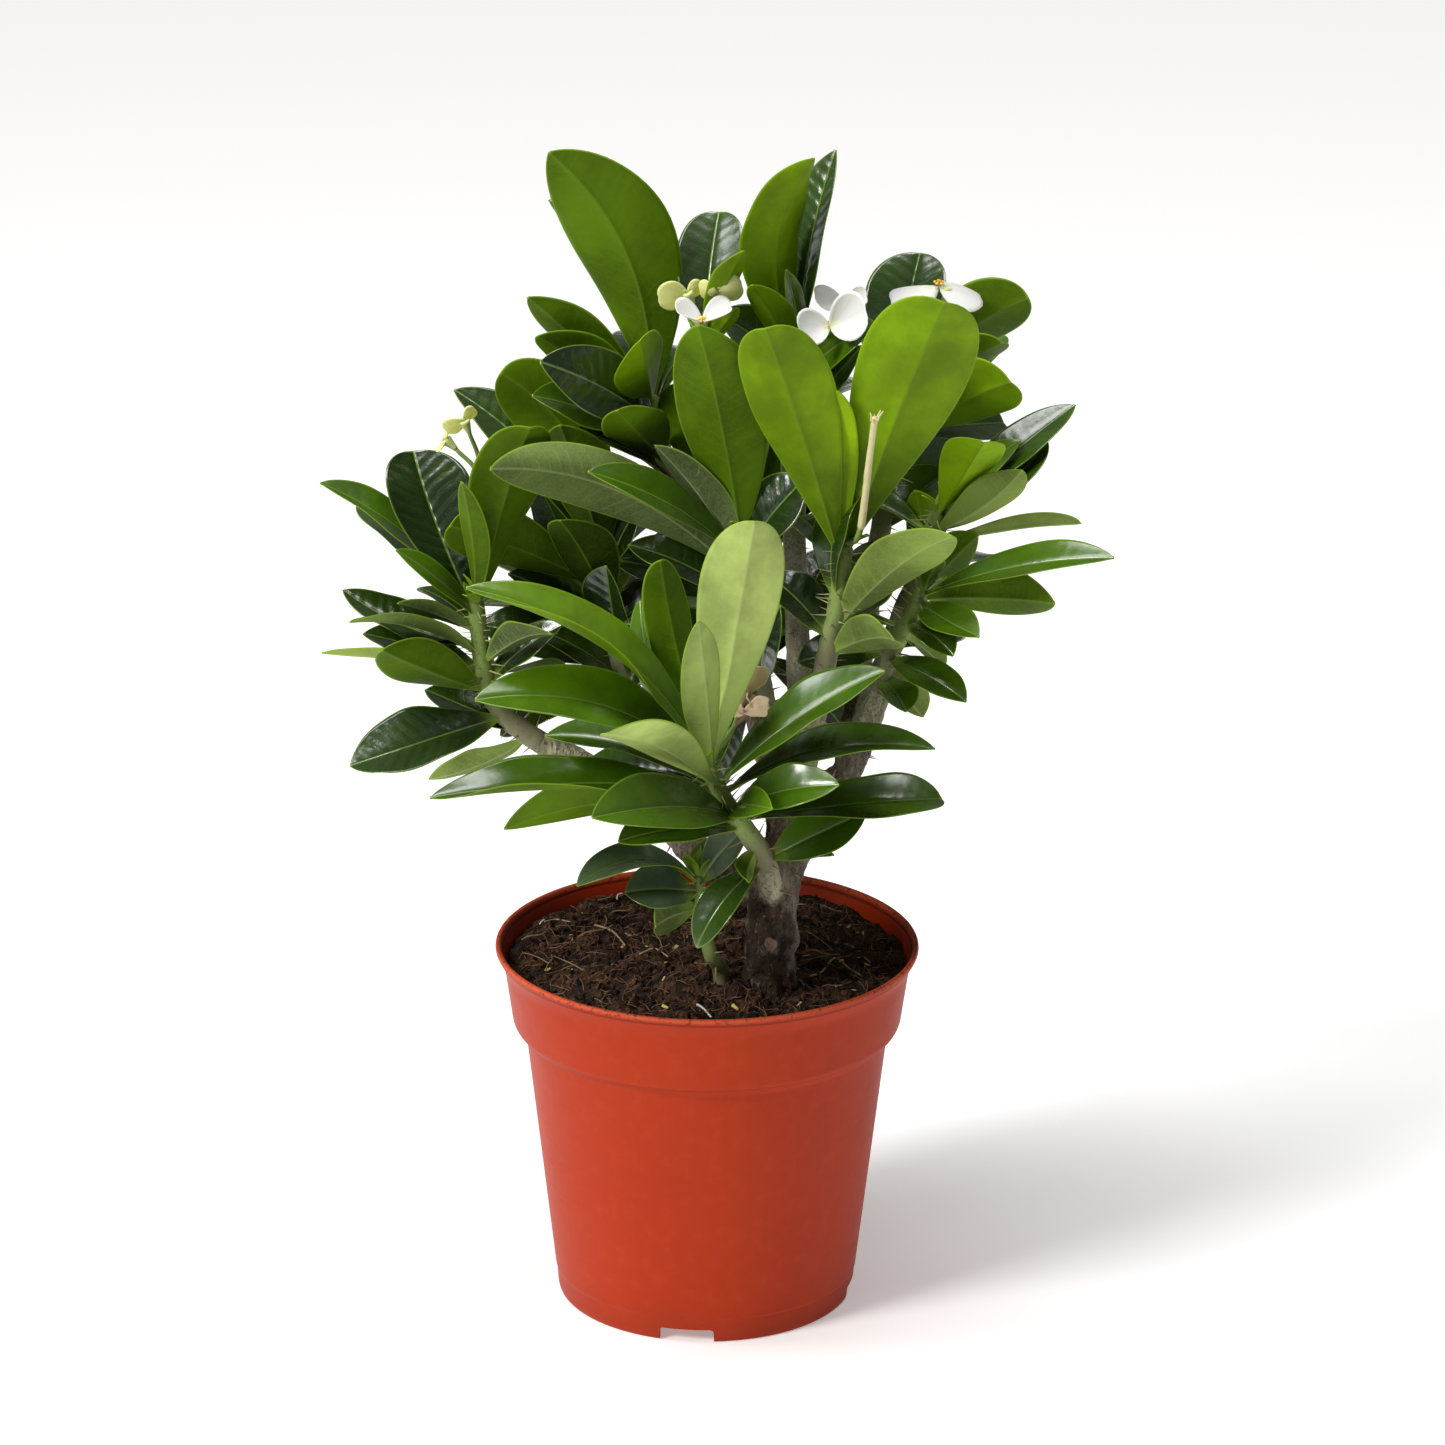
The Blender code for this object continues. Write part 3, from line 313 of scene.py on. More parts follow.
# Each limb from its wood to its tip, and the point from which it is green.
limbs = {
    "front_low": (2, [
        (775, 905, -38), (770, 885, -45), (766, 866, -49), (760, 850, -52), (745, 829, -56),
        (727, 805, -60), (708, 768, -63)
    ]),
    "right_low": (2, [
        (862, 735, -2), (868, 708, 0), (874, 690, 1), (888, 655, 5), (912, 615, 8), (922, 592, 10)
    ]),
    "right_mid": (2, [(856, 752, -3), (876, 700, 15), (893, 640, 22), (918, 575, 26), (937, 515, 28)]),
    "back_right": (2, [(845, 772, -7), (856, 700, 25), (868, 610, 40), (885, 500, 48), (895, 405, 52)]),
    "centre_right": (2, [
        (791, 825, -27), (806, 760, -30), (820, 690, -27), (835, 620, -24), (845, 548, -20)
    ]),
    "centre": (2, [(788, 832, -27), (778, 770, -24), (764, 705, -16), (752, 625, -10), (742, 540, -5)]),
    "top_right": (3, [
        (792, 822, -22), (801, 740, 2), (797, 620, 16), (794, 520, 24), (796, 430, 30), (800, 342, 32)
    ]),
    "top_centre": (2, [(730, 612, 16), (716, 560, 18), (710, 500, 19), (704, 420, 20), (706, 340, 18)]),
    "upper_left": (2, [(728, 610, 17), (708, 560, 22), (686, 510, 27), (662, 450, 29), (650, 398, 30)]),
    "left": (3, [
        (682, 836, -17), (625, 790, -8), (575, 758, -4), (540, 742, -2), (500, 710, 0), (484, 670, 0),
        (476, 604, 0)
    ]),
    "centre_left": (2, [(678, 830, -16), (650, 770, 4), (630, 700, 14), (614, 630, 20), (604, 560, 22)]),
    "back_left": (2, [(690, 845, -19), (655, 770, 24), (620, 690, 44), (585, 610, 58), (562, 540, 62)]),
    "back": (2, [(786, 838, -27), (775, 765, 22), (762, 690, 46), (748, 600, 62), (740, 520, 68)]),
}
# Leaves: tip pixel, tip pixel, mm back, share along the leafy tip, width in mm,
# share of it seen from the front (below 0 where the underside shows), arch,
# and for some a twist in degrees, a bow to the right as a share of length, and
# the outline where it isn't oval.
leaves = {
    "front_low": [
        (755, 521, -80, 0.97, 33, -0.96, 0.05, "spoon"),
        (698, 621, -92, 0.95, 20, -0.8, 0.05),
        (466, 588, -78, 0.95, 25, 0.62, 0.08, 0, 0.06),
        (475, 700, -92, 0.9, 31, 0.62, 0.08, 0, 0.07),
        (607, 733, -130, 0.88, 25, -0.65, 0.12),
        (430, 798, -88, 0.84, 26, 0.62, 0.1, 0, -0.04),
        (885, 671, -60, 0.88, 29, 0.55, 0.06),
        (935, 749, -52, 0.82, 28, 0.46, 0.1, 0, -0.01),
        (839, 785, -84, 0.68, 20, 0.8, 0.1),
        (942, 799, -42, 0.6, 28, 0.62, 0.1, 0, 0.06, "spoon"),
        (866, 812, -62, 0.08, 22, 0.9, 0.06, 0, 0.02),
        (592, 818, -118, 0.6, 30, 0.7, 0.12, 0, -0.03),
        (504, 829, -70, 0.7, 30, -0.55, 0.1),
        (618, 842, -72, 0.5, 27, 0.6, 0.12, 0, -0.04),
        (545, 736, -58, 0.84, 27, 0.5, 0.1),
        (772, 809, -94, 0.66, 15, 0.75, 0.1),
        (660, 560, -52, 0.96, 20, -0.9, 0.05, "spoon"),
        (641, 600, -46, 0.93, 15, 0.5, 0.05, "spoon"),
        (697, 948, -66, 0.04, 17, 0.85, 0.15),
        (746, 880, -60, 0.3, 10, -0.8, 0.1),
        (580, 768, -30, 0.85, 24, 0.7, 0.08),
        (834, 855, -44, 0.12, 11, 0.6, 0.08),
    ],
    "centre_right": [
        (765, 328, -48, 0.86, 35, -0.97, 0.04, "spoon"),
        (945, 302, -46, 0.9, 44, -0.98, 0.05, "spoon"),
        (826, 387, -32, 0.95, 18, -0.88, 0.04, "spoon"),
        (953, 536, -58, 0.4, 27, -0.8, 0.1),
        (895, 640, -60, 0.25, 21, -0.75, 0.1),
        (768, 575, -16, 0.35, 24, 0.7, 0.06),
        (872, 470, -8, 0.6, 22, 0.6, 0.06),
        (892, 588, -30, 0.3, 20, 0.6, 0.08),
    ],
    "centre": [
        (698, 325, -38, 0.95, 36, -0.95, 0.04),
        (588, 472, -28, 0.85, 25, 0.5, 0.08),
        (490, 469, -42, 0.75, 27, -0.6, 0.1, 35, 0.04),
        (737, 412, -18, 0.97, 29, -0.9, 0.05, "spoon"),
        (806, 478, -20, 0.9, 26, 0.8, 0.06),
        (655, 445, -12, 0.8, 24, -0.7, 0.06),
        (628, 545, 0, 0.6, 24, 0.65, 0.08),
        (780, 606, -34, 0.12, 22, 0.7, 0.06),
        (622, 625, -8, 0.3, 22, 0.6, 0.08),
        (690, 800, -30, 0.16, 22, 0.7, 0.08),
        (772, 425, 8, 0.75, 24, 0.75, 0.06),
    ],
    "top_centre": [
        (719, 212, 48, 0.8, 27, 0.95, 0.08, "spoon"),
        (743, 251, 12, 0.97, 13, -0.8, 0.05),
        (674, 384, 14, 0.08, 26, -0.8, 0.05, 0, -0.03),
        (738, 308, -4, 0.93, 8, -0.9, 0.05),
    ],
    "top_right": [
        (814, 158, 12, 0.93, 33, -0.7, 0.04, 0, -0.11),
        (836, 150, 46, 0.96, 25, 0.6, 0.05),
        (752, 285, 0, 0.85, 16, -0.85, 0.05),
        (786, 270, 22, 0.97, 9, 0.8, 0.05),
        (718, 314, 22, 0.8, 24, 0.75, 0.06),
        (876, 324, 6, 0.75, 22, 0.7, 0.08),
        (862, 346, 20, 0.5, 17, 0.7, 0.08, 0, 0.04),
        (768, 428, 18, 0.2, 22, 0.65, 0.06),
        (822, 548, 10, 0.02, 20, 0.7, 0.05),
    ],
    "upper_left": [
        (549, 152, 12, 0.94, 41, -0.96, 0.05, 0, 0.1),
        (549, 200, 50, 0.88, 28, 0.7, 0.06, 0, 0.08),
        (528, 297, 14, 0.84, 23, -0.75, 0.06, 0, -0.02),
        (537, 336, 8, 0.78, 26, -0.7, 0.08, 0, -0.02),
        (540, 362, -4, 0.7, 29, 0.85, 0.1),
        (574, 366, 2, 0.76, 12, -0.6, 0.06),
        (640, 340, -6, 0.94, 26, -0.9, 0.05),
        (617, 410, -16, 0.4, 25, -0.9, 0.06),
        (532, 396, 14, 0.45, 26, 0.6, 0.08, 0, 0.05),
        (575, 432, -2, 0.2, 24, 0.55, 0.08),
    ],
    "centre_left": [
        (560, 425, 4, 0.97, 30, -0.92, 0.05),
        (450, 525, -10, 0.8, 27, -0.88, 0.1, "spoon"),
        (454, 390, 46, 0.94, 29, 0.75, 0.08, 0, 0.07),
        (500, 373, 16, 0.97, 30, -0.95, 0.05, 0, 0.14, "spoon"),
        (560, 520, -14, 0.6, 26, -0.85, 0.06),
        (640, 505, 2, 0.85, 20, 0.6, 0.06),
        (508, 574, 6, 0.4, 22, 0.6, 0.08),
        (606, 566, -2, 0.35, 23, 0.7, 0.06),
        (664, 590, 18, 0.5, 22, 0.7, 0.06),
        (664, 622, -6, 0.04, 22, 0.65, 0.06),
        (530, 628, 8, 0.1, 24, 0.6, 0.08),
        (500, 735, 22, 0.14, 24, 0.7, 0.08),
    ],
    "left": [
        (413, 451, 32, 0.94, 35, 0.93, 0.06, 0, -0.05, "spoon"),
        (320, 483, 12, 0.95, 22, 0.5, -0.06, 0, 0.18),
        (530, 427, -18, 0.95, 31, -0.9, 0.05, "spoon"),
        (462, 482, -4, 0.97, 14, -0.75, 0.04),
        (396, 550, -14, 0.93, 12, 0.7, 0.05),
        (343, 590, 10, 0.8, 22, 0.6, 0.06, 0, -0.12),
        (418, 588, 24, 0.86, 15, 0.6, 0.08),
        (350, 622, -28, 0.74, 19, -0.6, 0.08),
        (398, 603, -20, 0.86, 10, -0.7, 0.05),
        (552, 634, -40, 0.7, 18, -0.6, 0.08),
        (562, 625, -12, 0.55, 16, 0.7, 0.08),
        (322, 653, 20, 0.62, 10, -0.4, 0.04, 0, -0.01),
        (363, 634, 2, 0.66, 21, 0.6, 0.08, 0, -0.04),
        (382, 650, -36, 0.5, 25, -0.78, 0.08, 0, -0.06),
        (350, 766, -20, 0.28, 30, 0.78, 0.1, 0, -0.06),
        (429, 779, 16, 0.08, 15, -0.6, 0.06, 0, -0.1),
        (425, 690, 12, 0.1, 20, 0.7, 0.06),
    ],
    "right_low": [
        (1114, 558, -26, 0.93, 21, 0.55, 0.08, 0, 0.02),
        (1055, 603, -30, 0.9, 24, -0.75, 0.06, 0, 0.015),
        (979, 637, -26, 0.85, 18, 0.8, 0.08, 0, 0.07),
        (953, 656, -18, 0.6, 15, 0.8, 0.1),
        (944, 668, 16, 0.5, 12, -0.6, 0.08),
        (966, 702, -24, 0.3, 18, 0.75, 0.12, 0, 0.04),
        (921, 700, 22, 0.2, 10, -0.6, 0.08),
        (923, 717, 24, 0.1, 18, -0.7, 0.08),
        (906, 712, 4, 0.12, 18, 0.7, 0.1),
        (940, 560, -16, 0.97, 9, -0.9, 0.05),
        (978, 535, 24, 0.94, 19, -0.85, 0.06),
        (778, 748, 20, 0.18, 22, 0.7, 0.06),
        (798, 662, 12, 0.35, 22, 0.75, 0.06),
    ],
    "right_mid": [
        (1075, 405, 56, 0.95, 22, 0.7, 0.06, 0, 0.03),
        (1047, 440, 36, 0.9, 24, 0.75, 0.06, 0, 0.09),
        (1020, 440, 52, 0.92, 17, 0.7, 0.06),
        (1022, 470, 2, 0.85, 20, -0.75, 0.05, 0, 0.08),
        (1081, 523, -6, 0.75, 15, -0.4, 0.06, 0, 0.08, "spoon"),
        (984, 442, -10, 0.97, 24, -0.9, 0.05, 0, 0.02, "spoon"),
        (915, 490, 34, 0.5, 20, -0.8, 0.06),
    ],
    "back_right": [
        (920, 253, 76, 0.9, 34, 0.92, 0.06, 0, 0, "spoon"),
        (1029, 298, 46, 0.94, 30, -0.85, 0.08, 0, -0.06, "spoon"),
        (1003, 342, 30, 0.88, 22, -0.7, 0.08, "spoon"),
        (1011, 382, 22, 0.8, 30, -0.88, 0.06, "spoon"),
        (1004, 423, 66, 0.85, 24, 0.75, 0.08, 0, 0.04, "spoon"),
        (950, 470, 58, 0.35, 24, 0.75, 0.06),
    ],
    "back_left": [
        (530, 470, 58, 0.6, 26, 0.8, 0.06),
        (480, 625, 50, 0.14, 28, 0.75, 0.06),
        (640, 560, 48, 0.3, 24, -0.8, 0.06),
    ],
    "back": [
        (612, 560, 54, 0.5, 28, 0.75, 0.06),
        (792, 585, 34, 0.14, 24, -0.8, 0.06),
        (836, 548, 50, 0.12, 26, 0.8, 0.06),
        (715, 795, 34, 0.2, 22, 0.8, 0.06),
        (850, 738, 44, 0.2, 20, 0.75, 0.08),
    ],
}
suckerLeaves = [
    (577, 886, -62, 0.96, 20, 0.5, 0.16, 0, 0.05),
    (625, 893, -52, 0.88, 21, 0.85, 0.1),
    (655, 926, -66, 0.78, 18, -0.8, 0.1),
    (712, 838, -34, 0.97, 12, -0.8, 0.05),
    (748, 826, -30, 0.95, 18, 0.8, 0.06),
]
rear = dict(
    counts={
        "right_low": 3, "right_mid": 3, "back_right": 4, "centre_right": 1, "top_right": 3,
        "top_centre": 1, "upper_left": 3, "left": 3, "centre_left": 2, "back_left": 8, "back": 11,
    },
    behind=("back_left", "back"),
    spread=55,
    behindSpread=88,
    rise=(-8, 26),
    share=(0.3, 0.96),
    length=(62, 88),
    width=(22, 30),
    arch=0.08,
    side=140 * mm,
    depth=129 * mm,
    seed=4,
)
blade = dict(
    middle=1.05 * mm,
    edge=0.65 * mm,
    petiole=2.6 * mm,
    petioleThick=1.9 * mm,
    stations=(0, 0.25, 0.55, 0.85, 1),
    fewStations=(0, 0.38, 0.8, 1),
    narrow=24,
    oval=(1.2, 0.78),
    spoon=(1.35, 0.5),
    fold=math.radians(13),
    room=0.7 * mm,
    nearRoom=0.5 * mm,
    joined=0.3,
)
# Flowers: head, kind, stalk, the way each faces, the way its bracts lie, size, cupping.
flowers = {
    "bloom_top_centre_left": (
        "top_centre", "cream", [(704, 326, 14), (698, 314, 12), (693, 304, 11)],
        (-0.3, 0.85, 0.35), (1, 0.2, 0.25), (7, 12), 0.2,
    ),
    "bloom_top_centre_right": (
        "top_centre", "cream", [(704, 326, 14), (710, 312, 15), (711, 298, 15)],
        (0.15, 0.9, 0.35), (1, -0.1, 0.15), (10.5, 7.5), 0.2,
    ),
    "bloom_top_centre_open": (
        "top_centre", "white", [(704, 334, 12), (703, 326, 4)],
        (0.05, -0.3, 0.95), (1, 0.1, 0.1), 11.5, 0.6,
    ),
    "bloom_top_right_front": (
        "top_right", "white", [(812, 334, 22), (824, 330, 14)],
        (-0.12, -0.8, 0.55), (1, 0.05, 0.2), (16.5, 12.5), 0.6,
    ),
    "bloom_top_right_back": (
        "top_right", "white", [(826, 334, 30), (838, 318, 32)],
        (0.0, -0.4, 0.9), (1, 0.1, -0.05), (9.5, 12.5), 0.5,
    ),
    "bloom_back_right": (
        "back_right", "white", [(912, 360, 50), (938, 316, 46), (944, 301, 46)],
        (0.04, -0.2, 0.98), (1, 0.1, 0.04), (18.5, 20), -0.34,
    ),
    "bloom_left_outer": (
        "left", "cream", [(484, 540, 12), (478, 476, 18), (456, 449, 20)],
        (-0.85, -0.1, 0.45), (0.5, 0.2, 0.8), 6, 0.3,
    ),
    "bloom_left_inner": (
        "left", "cream", [(484, 540, 12), (480, 466, 16), (469, 432, 14)],
        (-0.45, 0.75, 0.5), (0.75, 0.1, 0.6), (6.5, 9), 0.25,
    ),
    "withered_bloom": (
        "front_low", "straw", [(722, 742, -60), (736, 724, -58)],
        (0.1, -0.45, 0.9), (0.9, -0.1, 0.2), 9.5, 0.5,
    ),
    "withered_leaf": (
        "front_low", "straw", [(728, 738, -50), (742, 705, -46)],
        (0.7, -0.5, 0.4), (0.3, 0.3, 1), 10, 0.7,
    ),
}
stub = dict(
    head="centre_right",
    root=[(856, 540, -27), (861, 528, -30)],
    path=[(866, 490, -33), (870, 455, -35), (875, 418, -37)],
    sides=12,
    taper=0.85,
    rough=0.2 * mm,
    shreds=7,
    shredHigh=(1.5, 4.5),
    shredGirth=(0.6 * mm, 0.25 * mm),
)


def smoothPath(points, steps):
    ends = [points[0] * 2 - points[1], *points, points[-1] * 2 - points[-2]]
    path = []
    for a, b, c, d in zip(ends, ends[1:], ends[2:], ends[3:]):
        for i in range(steps):
            t = i / steps
            path.append(
                0.5 * (2 * b + (c - a) * t + (2 * a - 5 * b + 4 * c - d) * t**2
                       + (3 * b - a - 3 * c + d) * t**3)
            )
    return [*path, points[-1]]


def alongPath(path, share):
    place = share * (len(path) - 1)
    i = min(int(place), len(path) - 2)
    return path[i].lerp(path[i + 1], place - i), (path[i + 1] - path[i]).normalized()


def spoke(side, other, turn):
    return side * math.cos(turn) + other * math.sin(turn)


# A ring of points round the pot's axis.
def ringPoints(radius, height, sides):
    turns = [2 * math.pi * k / sides for k in range(sides)]
    return [Vector((radius * math.cos(turn), radius * math.sin(turn), height)) for turn in turns]


# Quads between rings of points that follow each other, and caps over the first and last.
def ringFaces(rings, sides):
    quads = [(i * sides, k, (k + 1) % sides) for i in range(rings - 1) for k in range(sides)]
    return [(i + a, i + b, i + sides + b, i + sides + a) for i, a, b in quads]


def capped(rings, sides):
    last = (rings - 1) * sides
    ends = [tuple(reversed(range(sides))), tuple(range(last, last + sides))]
    return ringFaces(rings, sides) + ends


# Rings of points along a path: each has its path point, its swell and its push along.
def rimPoints(path, girths, sides, rings, starting=None, ending=None):
    side = Vector((1, 0, 0))
    last = len(path) - 1
    for i, swell, beyond in rings:
        along = (path[min(i + 1, last)] - path[max(i - 1, 0)]).normalized()
        if i == 0 and starting:
            along = starting
        if i == last and ending:
            along = ending
        side = (side - along * side.dot(along)).normalized()
        other = along.cross(side)
        radius = girths[0] + (girths[1] - girths[0]) * i / last
        centre = path[i] + along * beyond * radius
        for k in range(sides):
            out = spoke(side, other, 2 * math.pi * k / sides)
            yield centre + out * radius * swell, out, i / last, radius


def tube(path, girths, sides, starting=None, ending=None):
    rings = [(i, 1, 0) for i in range(len(path))]
    points = rimPoints(path, girths, sides, rings, starting, ending)
    return [point for point, *more in points], capped(len(path), sides)


# The same with rounded ends, and with its share along, girth and seed for the material.
def fineTube(path, girths, sides, rough=0, seed=0):
    last = len(path) - 1
    rings = [(0, swell, -beyond) for swell, beyond in reversed(roundedEnd)]
    rings += [(i, 1, 0) for i in range(last + 1)]
    rings += [(last, swell, beyond) for swell, beyond in roundedEnd]
    verts, places = [], []
    for spot, out, share, radius in rimPoints(path, girths, sides, rings):
        if rough:
            spot += out * rough * noise.noise(spot * roughScale + Vector((seed, 0, 0)))
        verts.append(spot)
        places.append((share, radius / mm, seed % 1))
    return verts, capped(len(rings), sides), places


# A leaf's midrib, outline and directions at any share s of its length.
class Leaf:
    def __init__(self, root, axis, tip, width, shown, roll, arch, twist=0, bow=0, form="oval"):
        self.root, self.tip, self.width, self.form = root, tip, width, form
        self.chord = tip - root
        self.length = self.chord.length
        self.ahead = self.chord.normalized()
        upper = (axis - self.ahead * axis.dot(self.ahead)).normalized()
        toEye = view["eye"] - root
        toEye = (toEye - self.ahead * toEye.dot(self.ahead)).normalized()
        self.aside = self.ahead.cross(toEye) * self.length * bow
        if shown is not None:
            ways = [
                Matrix.Rotation(side * math.acos(shown), 3, self.ahead) @ toEye
                for side in (1, -1)
            ]
            upper = max(ways, key=upper.dot)
        self.upper = Matrix.Rotation(math.radians(roll), 3, self.ahead) @ upper
        self.arch, self.twist = arch, math.radians(twist)
        self.stations = blade["stations" if width >= blade["narrow"] else "fewStations"]

    def outline(self, s):
        swell, blunt = blade[self.form]
        peak = swell / (swell + blunt)
        shape = (s / peak) ** swell * ((1 - s) / (1 - peak)) ** blunt if 0 < s < 1 else 0
        return 0.5 * max(blade["petiole"] * (1 - 0.45 * s), self.width * mm * shape)

    def frame(self, s):
        bow = self.upper * self.length * self.arch + self.aside
        point = self.root + self.chord * s + bow * 4 * s * (1 - s)
        along = (self.chord + bow * 4 * (1 - 2 * s)).normalized()
        side = along.cross(self.upper).normalized()
        turn = Matrix.Rotation(self.twist * s, 3, along)
        return point, turn @ side, turn @ side.cross(along)

    # The plain blade as its solid has it, thicker by extra, from a share of its length on.
    def coarse(self, extra=0, start=0):
        verts, faces = [], []
        stations = [start, *(s for s in self.stations if s > start)]
        for s in stations:
            point, side, upper = self.frame(s)
            half = self.outline(s)
            sunk = s == 0
            middle = blade["petioleThick"] if sunk else blade["middle"]
            edge = blade["petioleThick"] * 0.8 if sunk else blade["edge"]
            for face in (1, -1):
                for u in (-1, 0, 1) if face > 0 else (1, 0, -1):
                    lift = half * math.sin(blade["fold"]) * abs(u)
                    thick = (edge if u else middle) + extra
                    verts.append(point + side * (u * half) + upper * (lift + face * thick / 2))
        for i in range(len(stations) - 1):
            for k in range(6):
                a, b = i * 6 + k, i * 6 + (k + 1) % 6
                if k in (0, 3):
                    faces += [(a, a + 6, b), (b, a + 6, b + 6)]
                else:
                    faces += [(a, b + 6, b), (a, a + 6, b + 6)]
        end = (len(stations) - 1) * 6
        faces += [(0, 1, 5), (1, 4, 5), (1, 2, 4), (2, 3, 4)]
        faces += [(end, end + 5, end + 1), (end + 1, end + 5, end + 4)]
        faces += [(end + 1, end + 4, end + 2), (end + 2, end + 4, end + 3)]
        return verts, faces


# A shape in its place, which later ones keep clear of.
class Placed:
    def __init__(self, owner, shape, outer=None):
        self.owner = owner
        self.shape = shape
        self.tree = BVHTree.FromPolygons(*shape)
        self.outer = BVHTree.FromPolygons(*outer) if outer else self.tree
        self.low = [min(v[i] for v in shape[0]) for i in range(3)]
        self.high = [max(v[i] for v in shape[0]) for i in range(3)]

    def near(self, other):
        return all(self.low[i] < other.high[i] and other.low[i] < self.high[i] for i in range(3))

    def crosses(self, other):
        if not self.near(other):
            return False
        if self.owner == other.owner:
            return bool(self.outer.overlap(other.outer))
        return bool(self.tree.overlap(other.tree))


# Ways to bend a leaf clear of its neighbours, the least bent first: mm back, roll
# in degrees, arch.
bends = sorted(
    (
        (back, roll, arch)
        for back in (0, 5, -5, 10, -10, 16, -16, 24, -24, 34, -34)
        for roll in (0, 12, -12, 24, -24, 40, -40)
        for arch in (0, 0.06, -0.06, 0.12)
    ),
    key=lambda bend: abs(bend[0]) / 8 + abs(bend[1]) / 12 + abs(bend[2]) / 0.05,
)


def bentLeaf(path, row, bend):
    px, py, back, share, width, shown, arch, *more = row
    form = more.pop() if "spoon" in more else "oval"
    root, axis = alongPath(path, share)
    tip = seen(px, py, back + bend[0])
    return Leaf(root, axis, tip, width, shown, bend[1], arch + bend[2], *(more or (0, 0)), form)


def settle(owner, makeLeaf, placed):
    for bend in bends:
        leaf = makeLeaf(bend)
        outer = leaf.coarse(blade["nearRoom"], blade["joined"])
        trial = Placed(owner, leaf.coarse(blade["room"]), outer)
        if not any(trial.crosses(other) for other in placed):
            placed.append(trial)
            return leaf
    return None


# A leaf out of sight behind its head, from random draws.
def rearLeaf(path, draws, bend):
    turn, rise, share, length, width, form = draws
    root, axis = alongPath(path, share)
    flat = Vector((math.cos(turn), math.sin(turn), 0))
    reach = flat * math.cos(rise) + Vector((0, 0, math.sin(rise)))
    tip = root + reach * length + Vector((0, bend[0] * mm, 0.4 * bend[0] * mm))
    tip.x = max(-rear["side"], min(tip.x, rear["side"]))
    tip.y = min(tip.y, rear["depth"])
    return Leaf(root, axis, tip, width, None, bend[1], rear["arch"] + bend[2], form=form)


def cadShape(node):
    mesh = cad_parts[node].data
    return [v.co.copy() for v in mesh.vertices], [tuple(p.vertices) for p in mesh.polygons]


